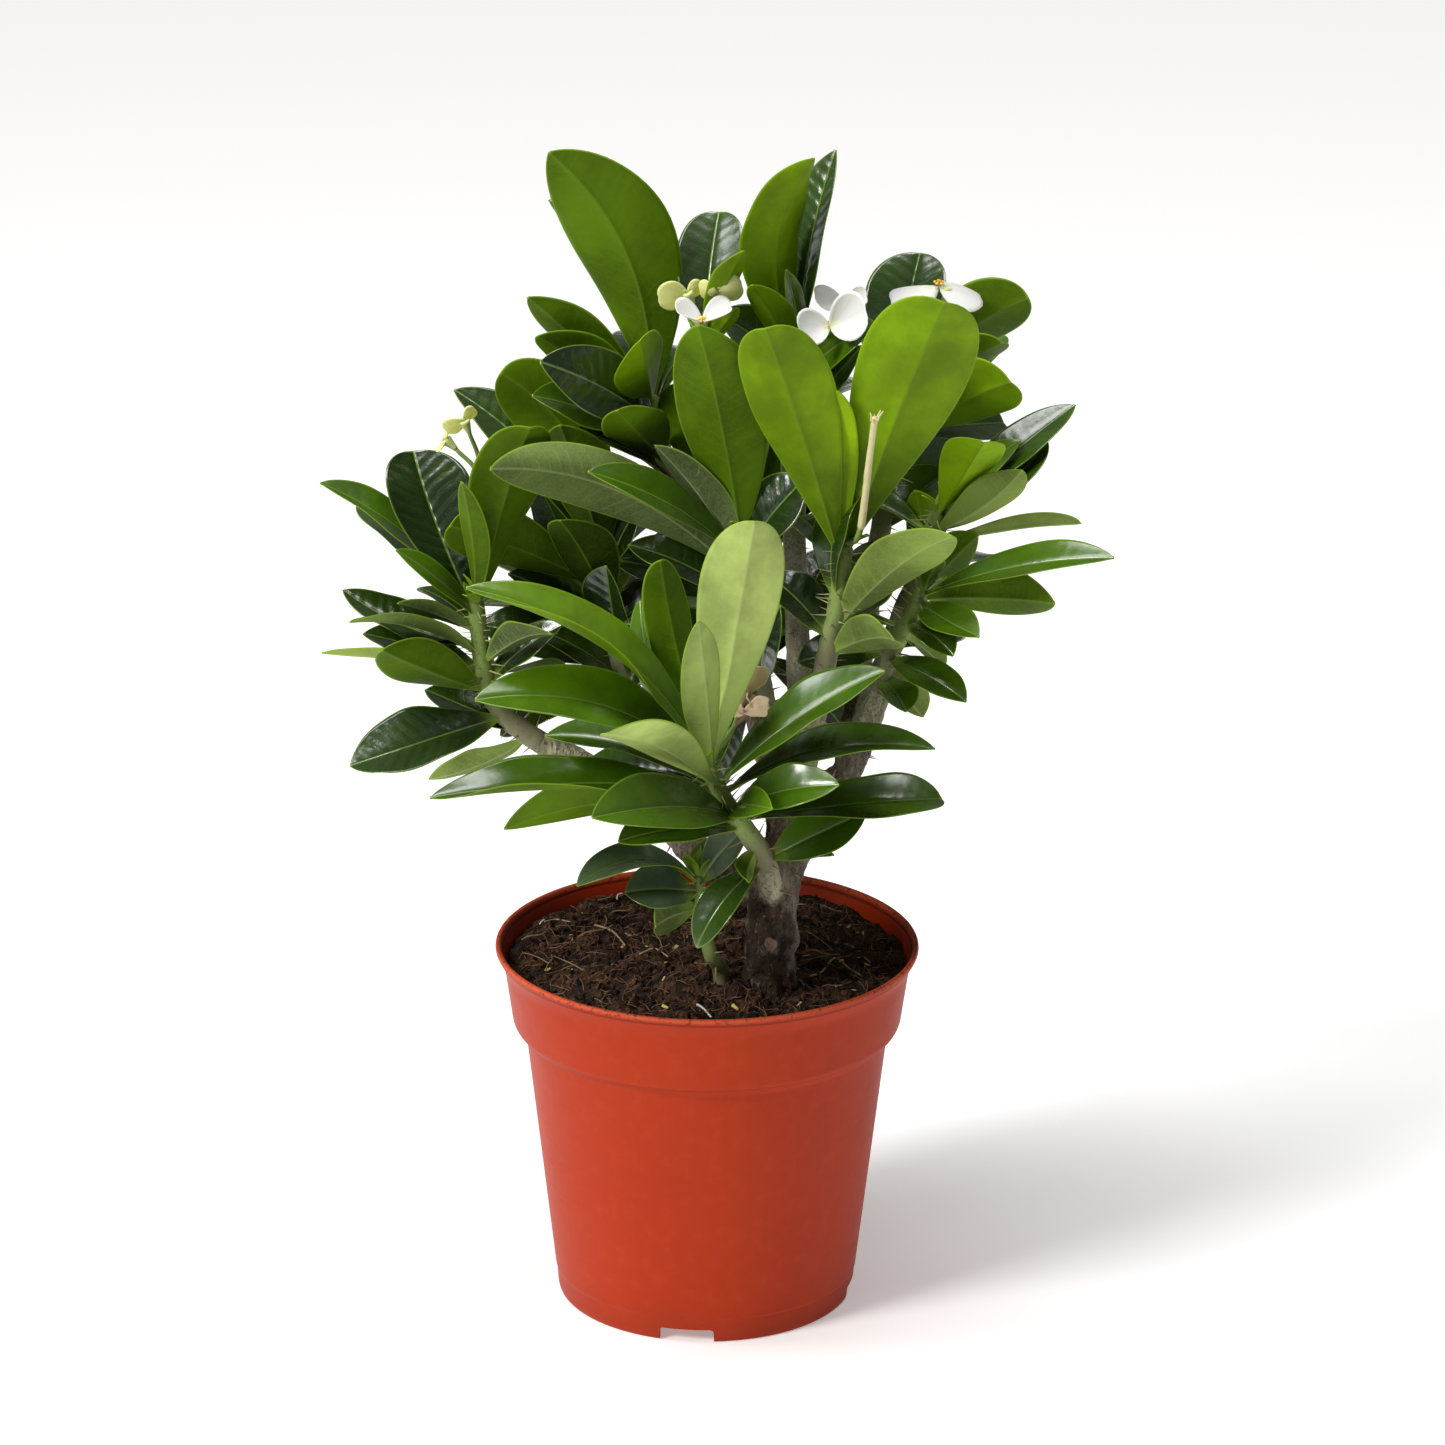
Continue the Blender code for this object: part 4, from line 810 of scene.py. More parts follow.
# Every limb, stalk and leaf in its place, as in the solids.
def placePlant():
    rng = random.Random(rear["seed"])
    placed, limbPaths, heads = [], [], {}

    def points(row):
        return [seen(*point) for point in row]

    foot = grounded(*wood["trunkFoot"], soil["edge"])
    for name, (girths, row) in mainWood.items():
        path = smoothPath(points(row), wood["steps"])
        fine = smoothPath(points(row), wood["fineSteps"])
        if name == "bole":
            heights = (wood["buriedTo"], soil["edge"] + wood["upright"])
            low = [Vector((foot.x, foot.y, z)) for z in heights]
            path = low + path
            fine = smoothPath([*low, *points(row)], wood["fineSteps"])
        limbPaths.append((name, path, fine, [girth * mm for girth in girths], None))
    for name, (green, row) in limbs.items():
        whole = smoothPath(points(row), wood["steps"])
        split = wood["steps"] * green
        along = (whole[split + 1] - whole[split - 1]).normalized()
        fine = smoothPath(points(row), wood["fineSteps"])
        cut = wood["fineSteps"] * green
        limbPaths.append(
            (name, whole[: split + 1], fine[: cut + 1], (wood["girth"], wood["stemGirth"][0]), along)
        )
        stem = [whole[split] + along * gap, *whole[split + 1 :]]
        heads[name] = dict(stem=stem, fine=fine[cut:], girths=wood["stemGirth"], along=along)
    for name, path, fine, girths, along in limbPaths:
        placed.append(Placed("trunk", tube(path, girths, wood["sides"], ending=along)))
    for name, head in heads.items():
        wide = [girth + 0.2 * mm for girth in head["girths"]]
        shape = tube(head["stem"], wide, wood["stemSides"], starting=head["along"])
        placed.append(Placed(name, shape))

    root = grounded(*wood["suckerFoot"], soil["edge"])
    heights = (wood["suckerBuriedTo"], soil["edge"] + wood["suckerUpright"])
    low = [Vector((root.x, root.y, z)) for z in heights]
    shoot = [*low, *smoothPath(points(wood["suckerPath"]), wood["steps"])]
    fine = smoothPath([*low, *points(wood["suckerPath"])], wood["fineSteps"])
    heads["sucker"] = dict(stem=shoot, fine=fine, girths=wood["suckerGirth"], along=None)
    placed.append(Placed("sucker", tube(shoot, wood["suckerGirth"], wood["stemSides"])))

    stalks = {name: [] for name in heads}
    ends = {}

    def addStalk(head, row, radius):
        stem = heads[head]["stem"]
        up = (stem[-1] - stem[-2]).normalized()
        sunk = up * wood["stalkSunk"]
        corners = [stem[-1] - sunk, stem[-1] + sunk, *points(row)]
        path = smoothPath(corners, wood["steps"])
        placed.append(Placed(head, tube(path, (radius, radius), wood["stalkSides"])))
        stalks[head].append((smoothPath(corners, wood["stalkSteps"]), radius))
        return path[-1], (path[-1] - path[-2]).normalized()

    for name, flower in flowers.items():
        ends[name] = addStalk(flower[0], flower[2], wood["stalk"])
    ends["dry_stalk_stub"] = addStalk(stub["head"], stub["root"], wood["stub"])
    for name in ends:
        placed.append(Placed(name, cadShape(name)))

    blades = {name: [] for name in heads}
    for name, rows in [*leaves.items(), ("sucker", suckerLeaves)]:
        stem = heads[name]["stem"]
        for i, row in enumerate(rows):
            leaf = settle(name, lambda bend: bentLeaf(stem, row, bend), placed)
            if leaf:
                blades[name].append((i, leaf))
    for name, count in rear["counts"].items():
        stem = heads[name]["stem"]
        for k in range(count):
            swing = 2 * ((0.3 + 0.618034 * k) % 1) - 1
            spread = rear["behindSpread" if name in rear["behind"] else "spread"]
            draws = (
                math.radians(90 + spread * swing),
                math.radians(rng.uniform(*rear["rise"])),
                rng.uniform(*rear["share"]),
                rng.uniform(*rear["length"]) * mm,
                rng.uniform(*rear["width"]),
                ("spoon", "oval")[k % 2],
            )
            leaf = settle(name, lambda bend: rearLeaf(stem, draws, bend), placed)
            if leaf:
                blades[name].append((None, leaf))
    return limbPaths, heads, stalks, ends, blades


# A mesh gathered from many shapes, with its numbers for the materials.
class Gathered:
    def __init__(self, *names):
        self.verts, self.faces, self.slots = [], [], []
        self.values = {name: [] for name in names}

    def take(self, verts, faces, slot=0, **values):
        start = len(self.verts)
        self.verts += verts
        self.faces += [tuple(start + i for i in face) for face in faces]
        self.slots += slot if isinstance(slot, list) else [slot] * len(faces)
        for name, stored in self.values.items():
            given = values.get(name, (0, 0, 0))
            stored += given if isinstance(given, list) else [given] * len(verts)

    def stem(self, path, girths, sides, rough=0, seed=0, slot=0):
        verts, faces, places = fineTube(path, girths, sides, rough, seed)
        self.take(verts, faces, slot, place=places)

    def obj(self, name, *materials, smooth=True):
        mesh = bpy.data.meshes.new(name)
        mesh.from_pydata([tuple(v) for v in self.verts], [], self.faces)
        for key, stored in self.values.items():
            attribute = mesh.attributes.new(key, "FLOAT_VECTOR", "POINT")
            attribute.data.foreach_set("vector", [part for value in stored for part in value])
        for material in materials:
            mesh.materials.append(material)
        mesh.polygons.foreach_set("material_index", self.slots)
        if smooth:
            mesh.shade_smooth()
        return linked(name, mesh)


def solid(name, verts, faces, *materials):
    gathered = Gathered()
    gathered.take(verts, faces)
    return gathered.obj(name, *materials)


def place(obj, slotName, *nodes):
    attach(obj, "root")
    if nodes:
        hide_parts(*nodes)
    return obj


fineBlade = dict(
    rows=30,
    crowding=1.5,
    columns=(0, 0.045, 0.11, 0.24, 0.42, 0.6, 0.77, 0.91, 1),
    middle=0.62 * mm,
    edge=0.3 * mm,
    ribHigh=0.85 * mm,
    ribWide=1.0 * mm,
    groove=0.22 * mm,
    stalkShare=0.12,
    stalkSwell=0.5 * mm,
    curlFrom=0.25,
    wave=0.045,
    waves=(1.2, 2.6),
    limp=0.1,
)
# How fresh each leaf in the tables is, with painted light: 0 the deepest green, 9 the
# youngest, and a to j the same for those with a pale matt underside. Lighter marks also
# paint light shining through leaves, and lighten leaves that lie in shade.
freshnessAndPaintedLight = {
    "front_low": "hg54h33233434225442313",
    "right_low": "3352d3dd33311",
    "right_mid": "225ee84",
    "back_right": "134623",
    "centre_right": "668ed022",
    "centre": "43b01a10122",
    "top_right": "717524232",
    "top_centre": "1748",
    "upper_left": "4234077522",
    "left": "0443412dcb1e131e2",
    "centre_left": "231411111121",
    "back_left": "211",
    "back": "11111",
    "sucker": "32cc3",
}


# Faces of a thin sheet, top, underside and rim, with a slot of their own for the top's.
def sheetFaces(rows, wide):
    count = (rows + 1) * wide
    top = [
        (a, a + 1, a + 1 + wide, a + wide)
        for i in range(rows) for a in range(i * wide, (i + 1) * wide - 1)
    ]
    faces = top + [tuple(corner + count for corner in reversed(face)) for face in top]
    for i in range(rows):
        a, b = i * wide, i * wide + wide - 1
        faces.append((a, a + wide, a + wide + count, a + count))
        faces.append((b, b + count, b + wide + count, b + wide))
    last = rows * wide
    for j in range(wide - 1):
        faces.append((last + j, last + j + 1, last + j + 1 + count, last + j + count))
        faces.append((j, j + count, j + 1 + count, j + 1))
    return faces, [0] * len(top) + [1] * (len(faces) - len(top))


def fineLeaf(leaf, mark, rng, curl=None, grey=(0, 0)):
    pale = mark > "9"
    # The mark gives freshness and painted light together.
    fresh = "abcdefghij".index(mark) if pale else int(mark)
    across = fineBlade["columns"]
    columns = [-u for u in across[:0:-1]] + list(across)
    rows = fineBlade["rows"]
    wave = fineBlade["wave"] * rng.uniform(0.5, 1.4)
    waves = rng.uniform(*fineBlade["waves"])
    phases = [rng.uniform(0, 2 * math.pi) for _ in range(3)]
    limp = fineBlade["limp"] * rng.uniform(-1, 1)
    chance = rng.random()
    top, under, places, kinds = [], [], [], []
    for i in range(rows + 1):
        s = 1 - (1 - i / rows) ** fineBlade["crowding"]
        point, side, upper = leaf.frame(s)
        half = leaf.outline(s)
        stalky = max(0, 1 - s / fineBlade["stalkShare"]) ** 2
        for u in columns:
            out = abs(u)
            lift = half * math.sin(blade["fold"]) * (out**1.7 + 0.25 * (1 - (1 - out) ** 6))
            sway = math.sin(2 * math.pi * waves * s + phases[0 if u < 0 else 1])
            lift += half * wave * sway * out**2 * math.sin(math.pi * s) ** 0.5
            lift += half * limp * out**2 * math.sin(2 * math.pi * s + phases[2])
            x = u * half
            slide = 0
            if curl:
                hand, start, strength = curl
                inner = fineBlade["curlFrom"]
                reach = max(0, u * hand - inner) / (1 - inner)
                share = min(1, max(0, (s - start) / (1 - start)))
                grip = strength * math.sin(math.pi * share) ** 0.8
                lift += half * grip * reach**1.5
                slide = -hand * half * grip * 0.55 * reach**2
            rib = math.exp(-((x / fineBlade["ribWide"]) ** 2))
            thick = fineBlade["edge"] + (fineBlade["middle"] - fineBlade["edge"]) * (1 - out**3)
            base = point + side * (x + slide) + upper * lift
            high = thick / 2 - fineBlade["groove"] * rib * (1 - stalky)
            low = thick / 2 + fineBlade["ribHigh"] * rib * (1 - 0.85 * s)
            high += stalky * fineBlade["stalkSwell"] * (1 - out**2)
            top.append(base + upper * high)
            under.append(base - upper * low)
            rim = min(half * (1 - out), (1 - s) * leaf.length * 0.6)
            places.append((x / mm, s * leaf.length / mm, rim / mm))
            kinds.append((fresh / 9, grey[0] + (grey[1] - grey[0]) * s**2, chance))
    below = [(tone, float(pale), which) for tone, _, which in kinds]
    faces, slots = sheetFaces(rows, len(columns))
    return top + under, faces, slots, places + places, kinds + below


# What both faces of a leaf share: its cloudiness, which is random tone and painted dappled shade, veins,
# midrib, margin and stalk.
def leafMarks(shade):
    x, y, rim = shade.parts(shade.attribute("place"))
    fresh, pale, chance = shade.parts(shade.attribute("kind"))
    where = shade.objectPlace()
    out = abs(x)
    # Clouds of random tone and of painted dappled shade.
    cloud = shade.mapped(shade.noise(where, 26, 6, 0.62), 0.32, 0.68)
    # Side veins leave the midrib forwards, wander, and fade towards the margin.
    drift = shade.noise(where, 90, 3) * 5 + shade.noise(where, 420, 2) * 0.8
    strength = shade.mapped(shade.noise(where, 70, 2), 0.35, 0.75)
    vein = abs((((y - out * 0.55 + drift) / 5.2 + chance) % 1) - 0.5)
    inside = shade.mapped(rim, 0.4, 3.5)
    return dict(
        fresh=fresh, pale=pale, chance=chance, where=where, cloud=cloud, along=y,
        veins=shade.mapped(vein, 0.0, 0.1, 1, 0) * inside * strength,
        quilt=shade.mapped(vein, 0.0, 0.5) * inside,
        rib=shade.mapped(out, 0.25, 0.6, 1, 0),
        stalk=shade.mapped(y, 2, 12, 1, 0),
        margin=shade.mapped(rim, 0.3, 0.7, 1, 0),
        speck=shade.noise(where, 2600, 2),
    )


# Three greens by freshness and painted light, each with a darker and a lighter cloud of random tone and
# painted dappled shade.
def leafGreen(shade, marks, greens):
    low, middle, high = (
        shade.mixed(marks["cloud"], tuple(0.62 * part for part in green),
                    tuple(1.25 * part for part in green))
        for green in greens
    )
    # Painted shade along each leaf: darker towards the stalk and lighter towards the tip.
    fresh = marks["fresh"] + shade.mapped(marks["along"], 8, 75, -0.07, 0.07)
    colour = shade.mixed(shade.mapped(fresh, 0, 0.45), low, middle)
    return shade.mixed(shade.mapped(fresh, 0.45, 1), colour, high)


greens = dict(
    top=((0.006, 0.018, 0.0035), (0.052, 0.122, 0.0015), (0.25, 0.42, 0.001)),
    under=((0.028, 0.054, 0.0015), (0.085, 0.165, 0.0005), (0.27, 0.46, 0.0008)),
    pale=((0.085, 0.12, 0.04), (0.22, 0.31, 0.055), (0.50, 0.63, 0.17)),
    grey=((0.075, 0.11, 0.075), (0.13, 0.185, 0.11), (0.40, 0.52, 0.20)),
)


def leafMaterials():
    upper, shade = newShade("leaf_top")
    marks = leafMarks(shade)
    where = marks["where"]
    colour = leafGreen(shade, marks, greens["top"])
    colour = shade.mixed(marks["pale"], colour, leafGreen(shade, marks, greens["grey"]))
    colour = shade.mixed(shade.mapped(marks["speck"], 0.5, 0.8) * 0.25, colour, (0.10, 0.17, 0.02))
    colour = shade.mixed(marks["veins"] * 0.2, colour, (0.10, 0.19, 0.03))
    colour = shade.mixed(marks["rib"] * 0.6, colour, (0.16, 0.26, 0.04))
    colour = shade.mixed(marks["margin"] * 0.45, colour, (0.20, 0.32, 0.02))
    colour = shade.mixed(marks["stalk"], colour, (0.22, 0.34, 0.04))
    gloss = 0.13 + shade.noise(where, 260, 3) * 0.2 + marks["stalk"] * 0.2
    # Old leaves pucker between their veins.
    pucker = shade.mapped(marks["fresh"], 0.02, 0.3, 1.5, 0.15) * (0.35 + marks["chance"] * 0.8)
    height = marks["quilt"] * pucker + shade.noise(where, 200, 3) * 0.5 - marks["rib"] * 0.5
    normal = shade.bump(height + marks["speck"] * 0.06, 0.2 * mm, 0.9)
    coat = shade.mapped(marks["fresh"] + marks["pale"], 0.12, 0.45, 0.5, 0.05)
    surface(shade, colour, gloss, normal, Specular_IOR_Level=0.7, Coat_Weight=coat, Coat_Roughness=0.16)

    lower, shade = newShade("leaf_underside")
    marks = leafMarks(shade)
    where = marks["where"]
    colour = leafGreen(shade, marks, greens["under"])
    colour = shade.mixed(marks["pale"], colour, leafGreen(shade, marks, greens["pale"]))
    lighter = shade.mixed(marks["pale"], (0.16, 0.27, 0.02), (0.40, 0.50, 0.20))
    net = shade.mapped(shade.noise(where, 1000, 3), 0.35, 0.65)
    colour = shade.mixed(net * 0.14 + marks["veins"] * 0.32, colour, lighter)
    colour = shade.mixed(marks["rib"] * 0.5, colour, lighter)
    colour = shade.mixed(marks["margin"] * 0.5, colour, (0.26, 0.42, 0.02))
    colour = shade.mixed(marks["stalk"], colour, (0.24, 0.36, 0.05))
    matt = 0.5 + shade.noise(where, 260, 3) * 0.12 + marks["pale"] * 0.12
    height = marks["quilt"] * -0.3 + shade.noise(where, 420, 3) * 0.3
    normal = shade.bump(height + marks["speck"] * 0.1, 0.14 * mm, 0.8)
    surface(shade, colour, matt, normal, Specular_IOR_Level=0.12)
    return upper, lower


def stemMaterial():
    material, shade = newShade("leafy_stem_skin")
    share = shade.parts(shade.attribute("place"))[0]
    where = shade.objectPlace()
    streak = shade.noise(where, 160, 4, 0.6, (1, 1, 0.3))
    patch = shade.noise(where, 420, 3)
    old = shade.mixed(streak, (0.12, 0.11, 0.055), (0.25, 0.24, 0.13))
    green = shade.mixed(streak, (0.13, 0.21, 0.03), (0.28, 0.38, 0.09))
    colour = shade.mixed(shade.mapped(share + (streak - 0.5) * 0.5, 0.1, 0.75), old, green)
    scars = shade.mapped(patch, 0.58, 0.7)
    colour = shade.mixed(scars * 0.6, colour, (0.16, 0.11, 0.06))
    height = streak * 0.7 + patch * 0.5
    normal = shade.bump(height, 0.5 * mm, 0.8)
    surface(shade, colour, 0.62 + patch * 0.2, normal)
    return material


# A Geometry Nodes tree run once on an object, and kept as a plain mesh.
class Growth(Nodes):
    def __init__(self, name, **inputs):
        tree = bpy.data.node_groups.new(name, "GeometryNodeTree")
        super().__init__(tree)
        kinds = {float: "NodeSocketFloat", int: "NodeSocketInt"}
        tree.interface.new_socket("Geometry", in_out="INPUT", socket_type="NodeSocketGeometry")
        self.values = {}
        for key, value in inputs.items():
            kind = kinds.get(type(value), "NodeSocketMaterial")
            item = tree.interface.new_socket(key, in_out="INPUT", socket_type=kind)
            self.values[item.identifier] = value
        tree.interface.new_socket("Geometry", in_out="OUTPUT", socket_type="NodeSocketGeometry")
        self.given = self.add("NodeGroupInput")

    def random(self, low, high, seed):
        return self.add("FunctionNodeRandomValue", None, {2: low, 3: high, "Seed": seed})[1]

    def randomVector(self, low, high, seed):
        settings = {"data_type": "FLOAT_VECTOR"}
        return self.add("FunctionNodeRandomValue", settings, {0: low, 1: high, "Seed": seed})[0]

    def moved(self, geometry, offset):
        return self.add("GeometryNodeSetPosition", None, {"Geometry": geometry, "Offset": offset})[0]

    # The same shape on every point, as real meshes of one material.
    def end(self, points, shape, rotation, scale, material):
        inputs = {"Points": points, "Instance": shape, "Rotation": rotation, "Scale": scale}
        spread = self.add("GeometryNodeInstanceOnPoints", None, inputs)[0]
        real = self.add("GeometryNodeRealizeInstances", None, {0: spread})[0]
        done = self.add("GeometryNodeSetMaterial", None, {"Geometry": real, "Material": material})
        self.add("NodeGroupOutput", None, {0: done[0]})

    def run(self, name, source):
        modifier = source.modifiers.new("Growth", "NODES")
        modifier.node_group = self.tree
        for key, value in self.values.items():
            modifier[key] = value
        mesh = applied(source)
        source.modifiers.remove(modifier)
        made = linked(name, mesh)
        mesh.name = name
        bpy.data.objects.remove(source, do_unlink=True)
        return made


# Stems as bare lines of points, each with its girth.
def lineObject(name, paths):
    verts, edges, girths = [], [], []
    for path, (first, end) in paths:
        start = len(verts)
        last = len(path) - 1
        verts += [tuple(p) for p in path]
        edges += [(start + i, start + i + 1) for i in range(last)]
        girths += [first + (end - first) * i / last for i in range(last + 1)]
    mesh = bpy.data.meshes.new(name)
    mesh.from_pydata(verts, edges, [])
    mesh.attributes.new("girth", "FLOAT", "POINT").data.foreach_set("value", girths)
    return linked(name, mesh)


def spineMaterial():
    material, shade = newShade("spine")
    where = shade.objectPlace()
    tint = shade.noise(where, 300, 2)
    colour = shade.mixed(tint, (0.16, 0.05, 0.025), (0.44, 0.32, 0.20))
    normal = shade.bump(shade.noise(where, 1500, 2), 0.1 * mm, 0.6)
    surface(shade, colour, 0.5 + tint * 0.2, normal)
    return material


# Spacing, length and thickness of the spines.
spineSizes = {
    "head": (2.1 * mm, 6.5 * mm, 0.5 * mm),
    "bristle": (0.8 * mm, 8 * mm, 0.38 * mm),
    "wood": (5.5 * mm, 6 * mm, 0.5 * mm),
}


def growSpines(name, paths, material, seed, kind):
    spacing, length, thick = spineSizes[kind]
    grow = Growth(name, Spacing=spacing, Length=length, Seed=seed, Material=material)
    given = grow.given
    girth = grow.add("GeometryNodeInputNamedAttribute", None, {"Name": "girth"})["Attribute"]
    line = grow.add("GeometryNodeMeshToCurve", None, {0: given["Geometry"]})[0]
    spots = grow.add(
        "GeometryNodeCurveToPoints", {"mode": "LENGTH"}, {"Curve": line, "Length": given["Spacing"]}
    )
    number = grow.add("GeometryNodeInputIndex")[0]
    turn = number * goldenTurn + grow.random(-0.7, 0.7, given["Seed"])
    out = grow.add(
        "ShaderNodeVectorRotate", None,
        {"Vector": spots["Normal"], "Axis": spots["Tangent"], "Angle": turn},
    )[0]
    lean = grow.random(-0.25, 0.45, given["Seed"] + 1)
    aim = grow.vector("ADD", out, grow.scaled(spots["Tangent"], lean))
    moved = grow.moved(spots["Points"], grow.scaled(out, girth * 0.85))
    cone = grow.add(
        "GeometryNodeMeshCone", {"fill_type": "TRIANGLE_FAN"},
        {"Vertices": 5, "Side Segments": 2, "Radius Top": 0.05 * mm, "Radius Bottom": thick,
         "Depth": given["Length"]},
    )["Mesh"]
    turned = grow.add("FunctionNodeAlignRotationToVector", {"axis": "Z"}, {"Vector": aim})[0]
    size = grow.random(0.55, 1.15, given["Seed"] + 2)
    grow.end(moved, cone, turned, size, given["Material"])
    return grow.run(name, lineObject(name + "_lines", paths))


# Sizes of the bark's relief, each with its fineness, and each limb's age at both ends.
bark = dict(
    voxel=0.8 * mm,
    sides=14,
    ridges=(2.2 * mm, 230),
    lumps=(2.0 * mm, 90),
    plates=(0.9 * mm, 130),
    plateFrom=0.08,
    squat=0.35,
    smoothUpTo=0.25,
    neighbours=12,
)
limbAge = {"bole": (1.15, 0.8), "left_bough": (0.85, 0.5), "right_bough": (0.8, 0.5),
           "upper_bough": (0.8, 0.5), "front_low": (0.55, 0.2)}


def barkMaterial():
    material, shade = newShade("woody_bark")
    age = shade.parts(shade.attribute("place"))[0]
    where = shade.objectPlace()
    streak = shade.mapped(shade.noise(where, 130, 5, 0.68, (1, 1, 0.3)), 0.3, 0.7)
    patch = shade.noise(where, 90, 4, 0.65)
    speck = shade.noise(where, 900, 3)
    dark = shade.mixed(streak, (0.008, 0.005, 0.003), (0.11, 0.066, 0.038))
    pale = shade.mixed(streak, (0.06, 0.045, 0.03), (0.30, 0.255, 0.19))
    young = shade.mixed(streak, (0.20, 0.195, 0.115), (0.46, 0.43, 0.29))
    light = shade.mixed(shade.mapped(age + (patch - 0.5) * 0.3, 0.3, 0.6), young, pale)
    colour = shade.mixed(shade.mapped(age + (patch - 0.5) * 0.9, 0.72, 0.95), light, dark)
    # Grey bark peels off the bole's right side, and shreds of it cling elsewhere.
    x = shade.parts(where)[0]
    right = shade.mapped(x + (patch - 0.5) * 0.03, seen(784, 900, -52).x, seen(797, 900, -52).x)
    shreds = shade.mapped(shade.noise(where, 210, 4, 0.7, (1, 1, 0.5)), 0.56, 0.62)
    peeling = shade.mixed(streak, (0.10, 0.08, 0.06), (0.42, 0.36, 0.28))
    colour = shade.mixed(right * 0.75 * shade.mapped(age, 0.7, 0.9), colour, peeling)
    colour = shade.mixed(shreds * 0.6 * shade.mapped(age, 0.6, 0.8), colour, peeling)
    colour = shade.mixed(shade.mapped(speck, 0.52, 0.7) * 0.65, colour, (0.03, 0.018, 0.011))
    # Where a shoot fell: a pale round scar low on the bole.
    spot = seen(770, 945, -52)
    away = shade.add("ShaderNodeVectorMath", {"operation": "DISTANCE"}, {0: where, 1: spot})
    scar = shade.mapped(away["Value"], 2.5 * mm, 3.4 * mm, 1, 0)
    colour = shade.mixed(scar * 0.85, colour, (0.30, 0.22, 0.14))
    height = streak * 1.1 + patch * 0.4 + speck * 0.35 + shreds * 0.3
    normal = shade.bump(height, 1.6 * mm, 1)
    surface(shade, colour, 0.78 + speck * 0.15, normal, Specular_IOR_Level=0.3)
    return material


def buildTrunk(limbPaths, material):
    gathered = Gathered()
    ages = []
    for name, _, fine, girths, _ in limbPaths:
        gathered.stem(fine, girths, bark["sides"])
        first, end = limbAge.get(name, (0.5, 0.12))
        for i, point in enumerate(fine):
            share = i / (len(fine) - 1)
            girth = girths[0] + (girths[1] - girths[0]) * share
            ages.append((point, first + (end - first) * share, girth))
    rough = gathered.obj("trunk_rough")
    remesh = rough.modifiers.new("Join", "REMESH")
    remesh.mode = "VOXEL"
    remesh.voxel_size = bark["voxel"]
    remesh.use_smooth_shade = True
    mesh = applied(rough)
    bpy.data.objects.remove(rough, do_unlink=True)
    tree = KDTree(len(ages))
    for i, (point, _, _) in enumerate(ages):
        tree.insert(point, i)
    tree.balance()
    spots = [vertex.co.copy() for vertex in mesh.vertices]
    normals = [vertex.normal.copy() for vertex in mesh.vertices]
    places, moved = [], []
    for here, normal in zip(spots, normals):
        near = tree.find_n(here, bark["neighbours"])
        weights = [(abs(distance - ages[i][2]) + 0.5 * mm) ** -2 for _, i, distance in near]
        age = sum(ages[i][1] * w for (_, i, _), w in zip(near, weights)) / sum(weights)
        squat = Vector((here.x, here.y, here.z * bark["squat"]))
        rough = max(0, age - bark["smoothUpTo"])
        (ridge, ridgeScale), (lump, lumpScale) = bark["ridges"], bark["lumps"]
        lift = noise.fractal(squat * ridgeScale, 1, 2, 4) * ridge * (0.2 + rough)
        lift += noise.noise(here * lumpScale) * lump * rough
        # Peeling plates with stepped edges.
        plate, plateScale = bark["plates"]
        if noise.noise(squat * plateScale + Vector((7, 3, 1))) > bark["plateFrom"]:
            lift += plate * rough
        moved += list(here + normal * lift)
        places += [age, 0, 0]
    mesh.vertices.foreach_set("co", moved)
    mesh.attributes.new("place", "FLOAT_VECTOR", "POINT").data.foreach_set("vector", places)
    mesh.materials.clear()
    mesh.materials.append(material)
    mesh.shade_smooth()
    return linked("trunk_bark", mesh)


bloom = dict(
    rings=7,
    sides=22,
    thick=0.34 * mm,
    cupHeight=4.5 * mm,
    breadth=0.66,
    notch=0.07,
    ruffle=0.05,
    crumple={"cream": 0.12 * mm, "white": 0.12 * mm, "straw": 1.1 * mm},
    shift={"bloom_back_right": (-3.5, 0, 2), "bloom_top_centre_right": (2, -8, 0)},
    # Radius and height of the cup's and a gland's rings, in mm.
    cup=((1.0, -0.4), (1.2, 0.3), (1.45, 1.6), (1.85, 3), (2.25, 4.3), (2.2, 5.1), (1.4, 5.3),
         (0.3, 4.8)),
    bead=((0.15, -0.5), (0.62, -0.25), (0.75, 0.1), (0.5, 0.42), (0.12, 0.5)),
)
bloomColours = {
    "cream": ((0.74, 0.76, 0.24), (0.85, 0.86, 0.36), (0.55, 0.62, 0.12)),
    "white": ((0.74, 0.73, 0.66), (0.82, 0.81, 0.76), (0.62, 0.66, 0.30)),
    "straw": ((0.32, 0.22, 0.11), (0.62, 0.48, 0.31), (0.3, 0.22, 0.12)),
}


def petalMaterial(kind):
    material, shade = newShade(kind + "_bract")
    low, high, heart = bloomColours[kind]
    around, outward, _ = shade.parts(shade.attribute("place"))
    where = shade.objectPlace()
    cloud = shade.noise(where, 120, 3)
    vein = shade.mapped(abs(((around * 7 + cloud * 0.4) % 1) - 0.5), 0, 0.2, 1, 0)
    colour = shade.mixed(cloud, low, high)
    colour = shade.mixed(shade.mapped(outward, 0.05, 0.4, 1, 0) * 0.5, colour, heart)
    colour = shade.mixed(vein * 0.16, colour, heart)
    height = vein * 0.5 + shade.noise(where, 700, 2) * 0.4
    normal = shade.bump(height, 0.1 * mm, 0.7)
    surface(shade, colour, 0.5 + cloud * 0.12, normal, Subsurface_Weight=0.7,
            Subsurface_Radius=(1, 1, 0.6), Subsurface_Scale=1.5 * mm)
    return material


def plainMaterial(name, low, high):
    material, shade = newShade(name)
    where = shade.objectPlace()
    cloud = shade.noise(where, 420, 3)
    colour = shade.mixed(cloud, low, high)
    normal = shade.bump(shade.noise(where, 1300, 2), 0.1 * mm, 0.6)
    surface(shade, colour, 0.4 + cloud * 0.15, normal)
    return material


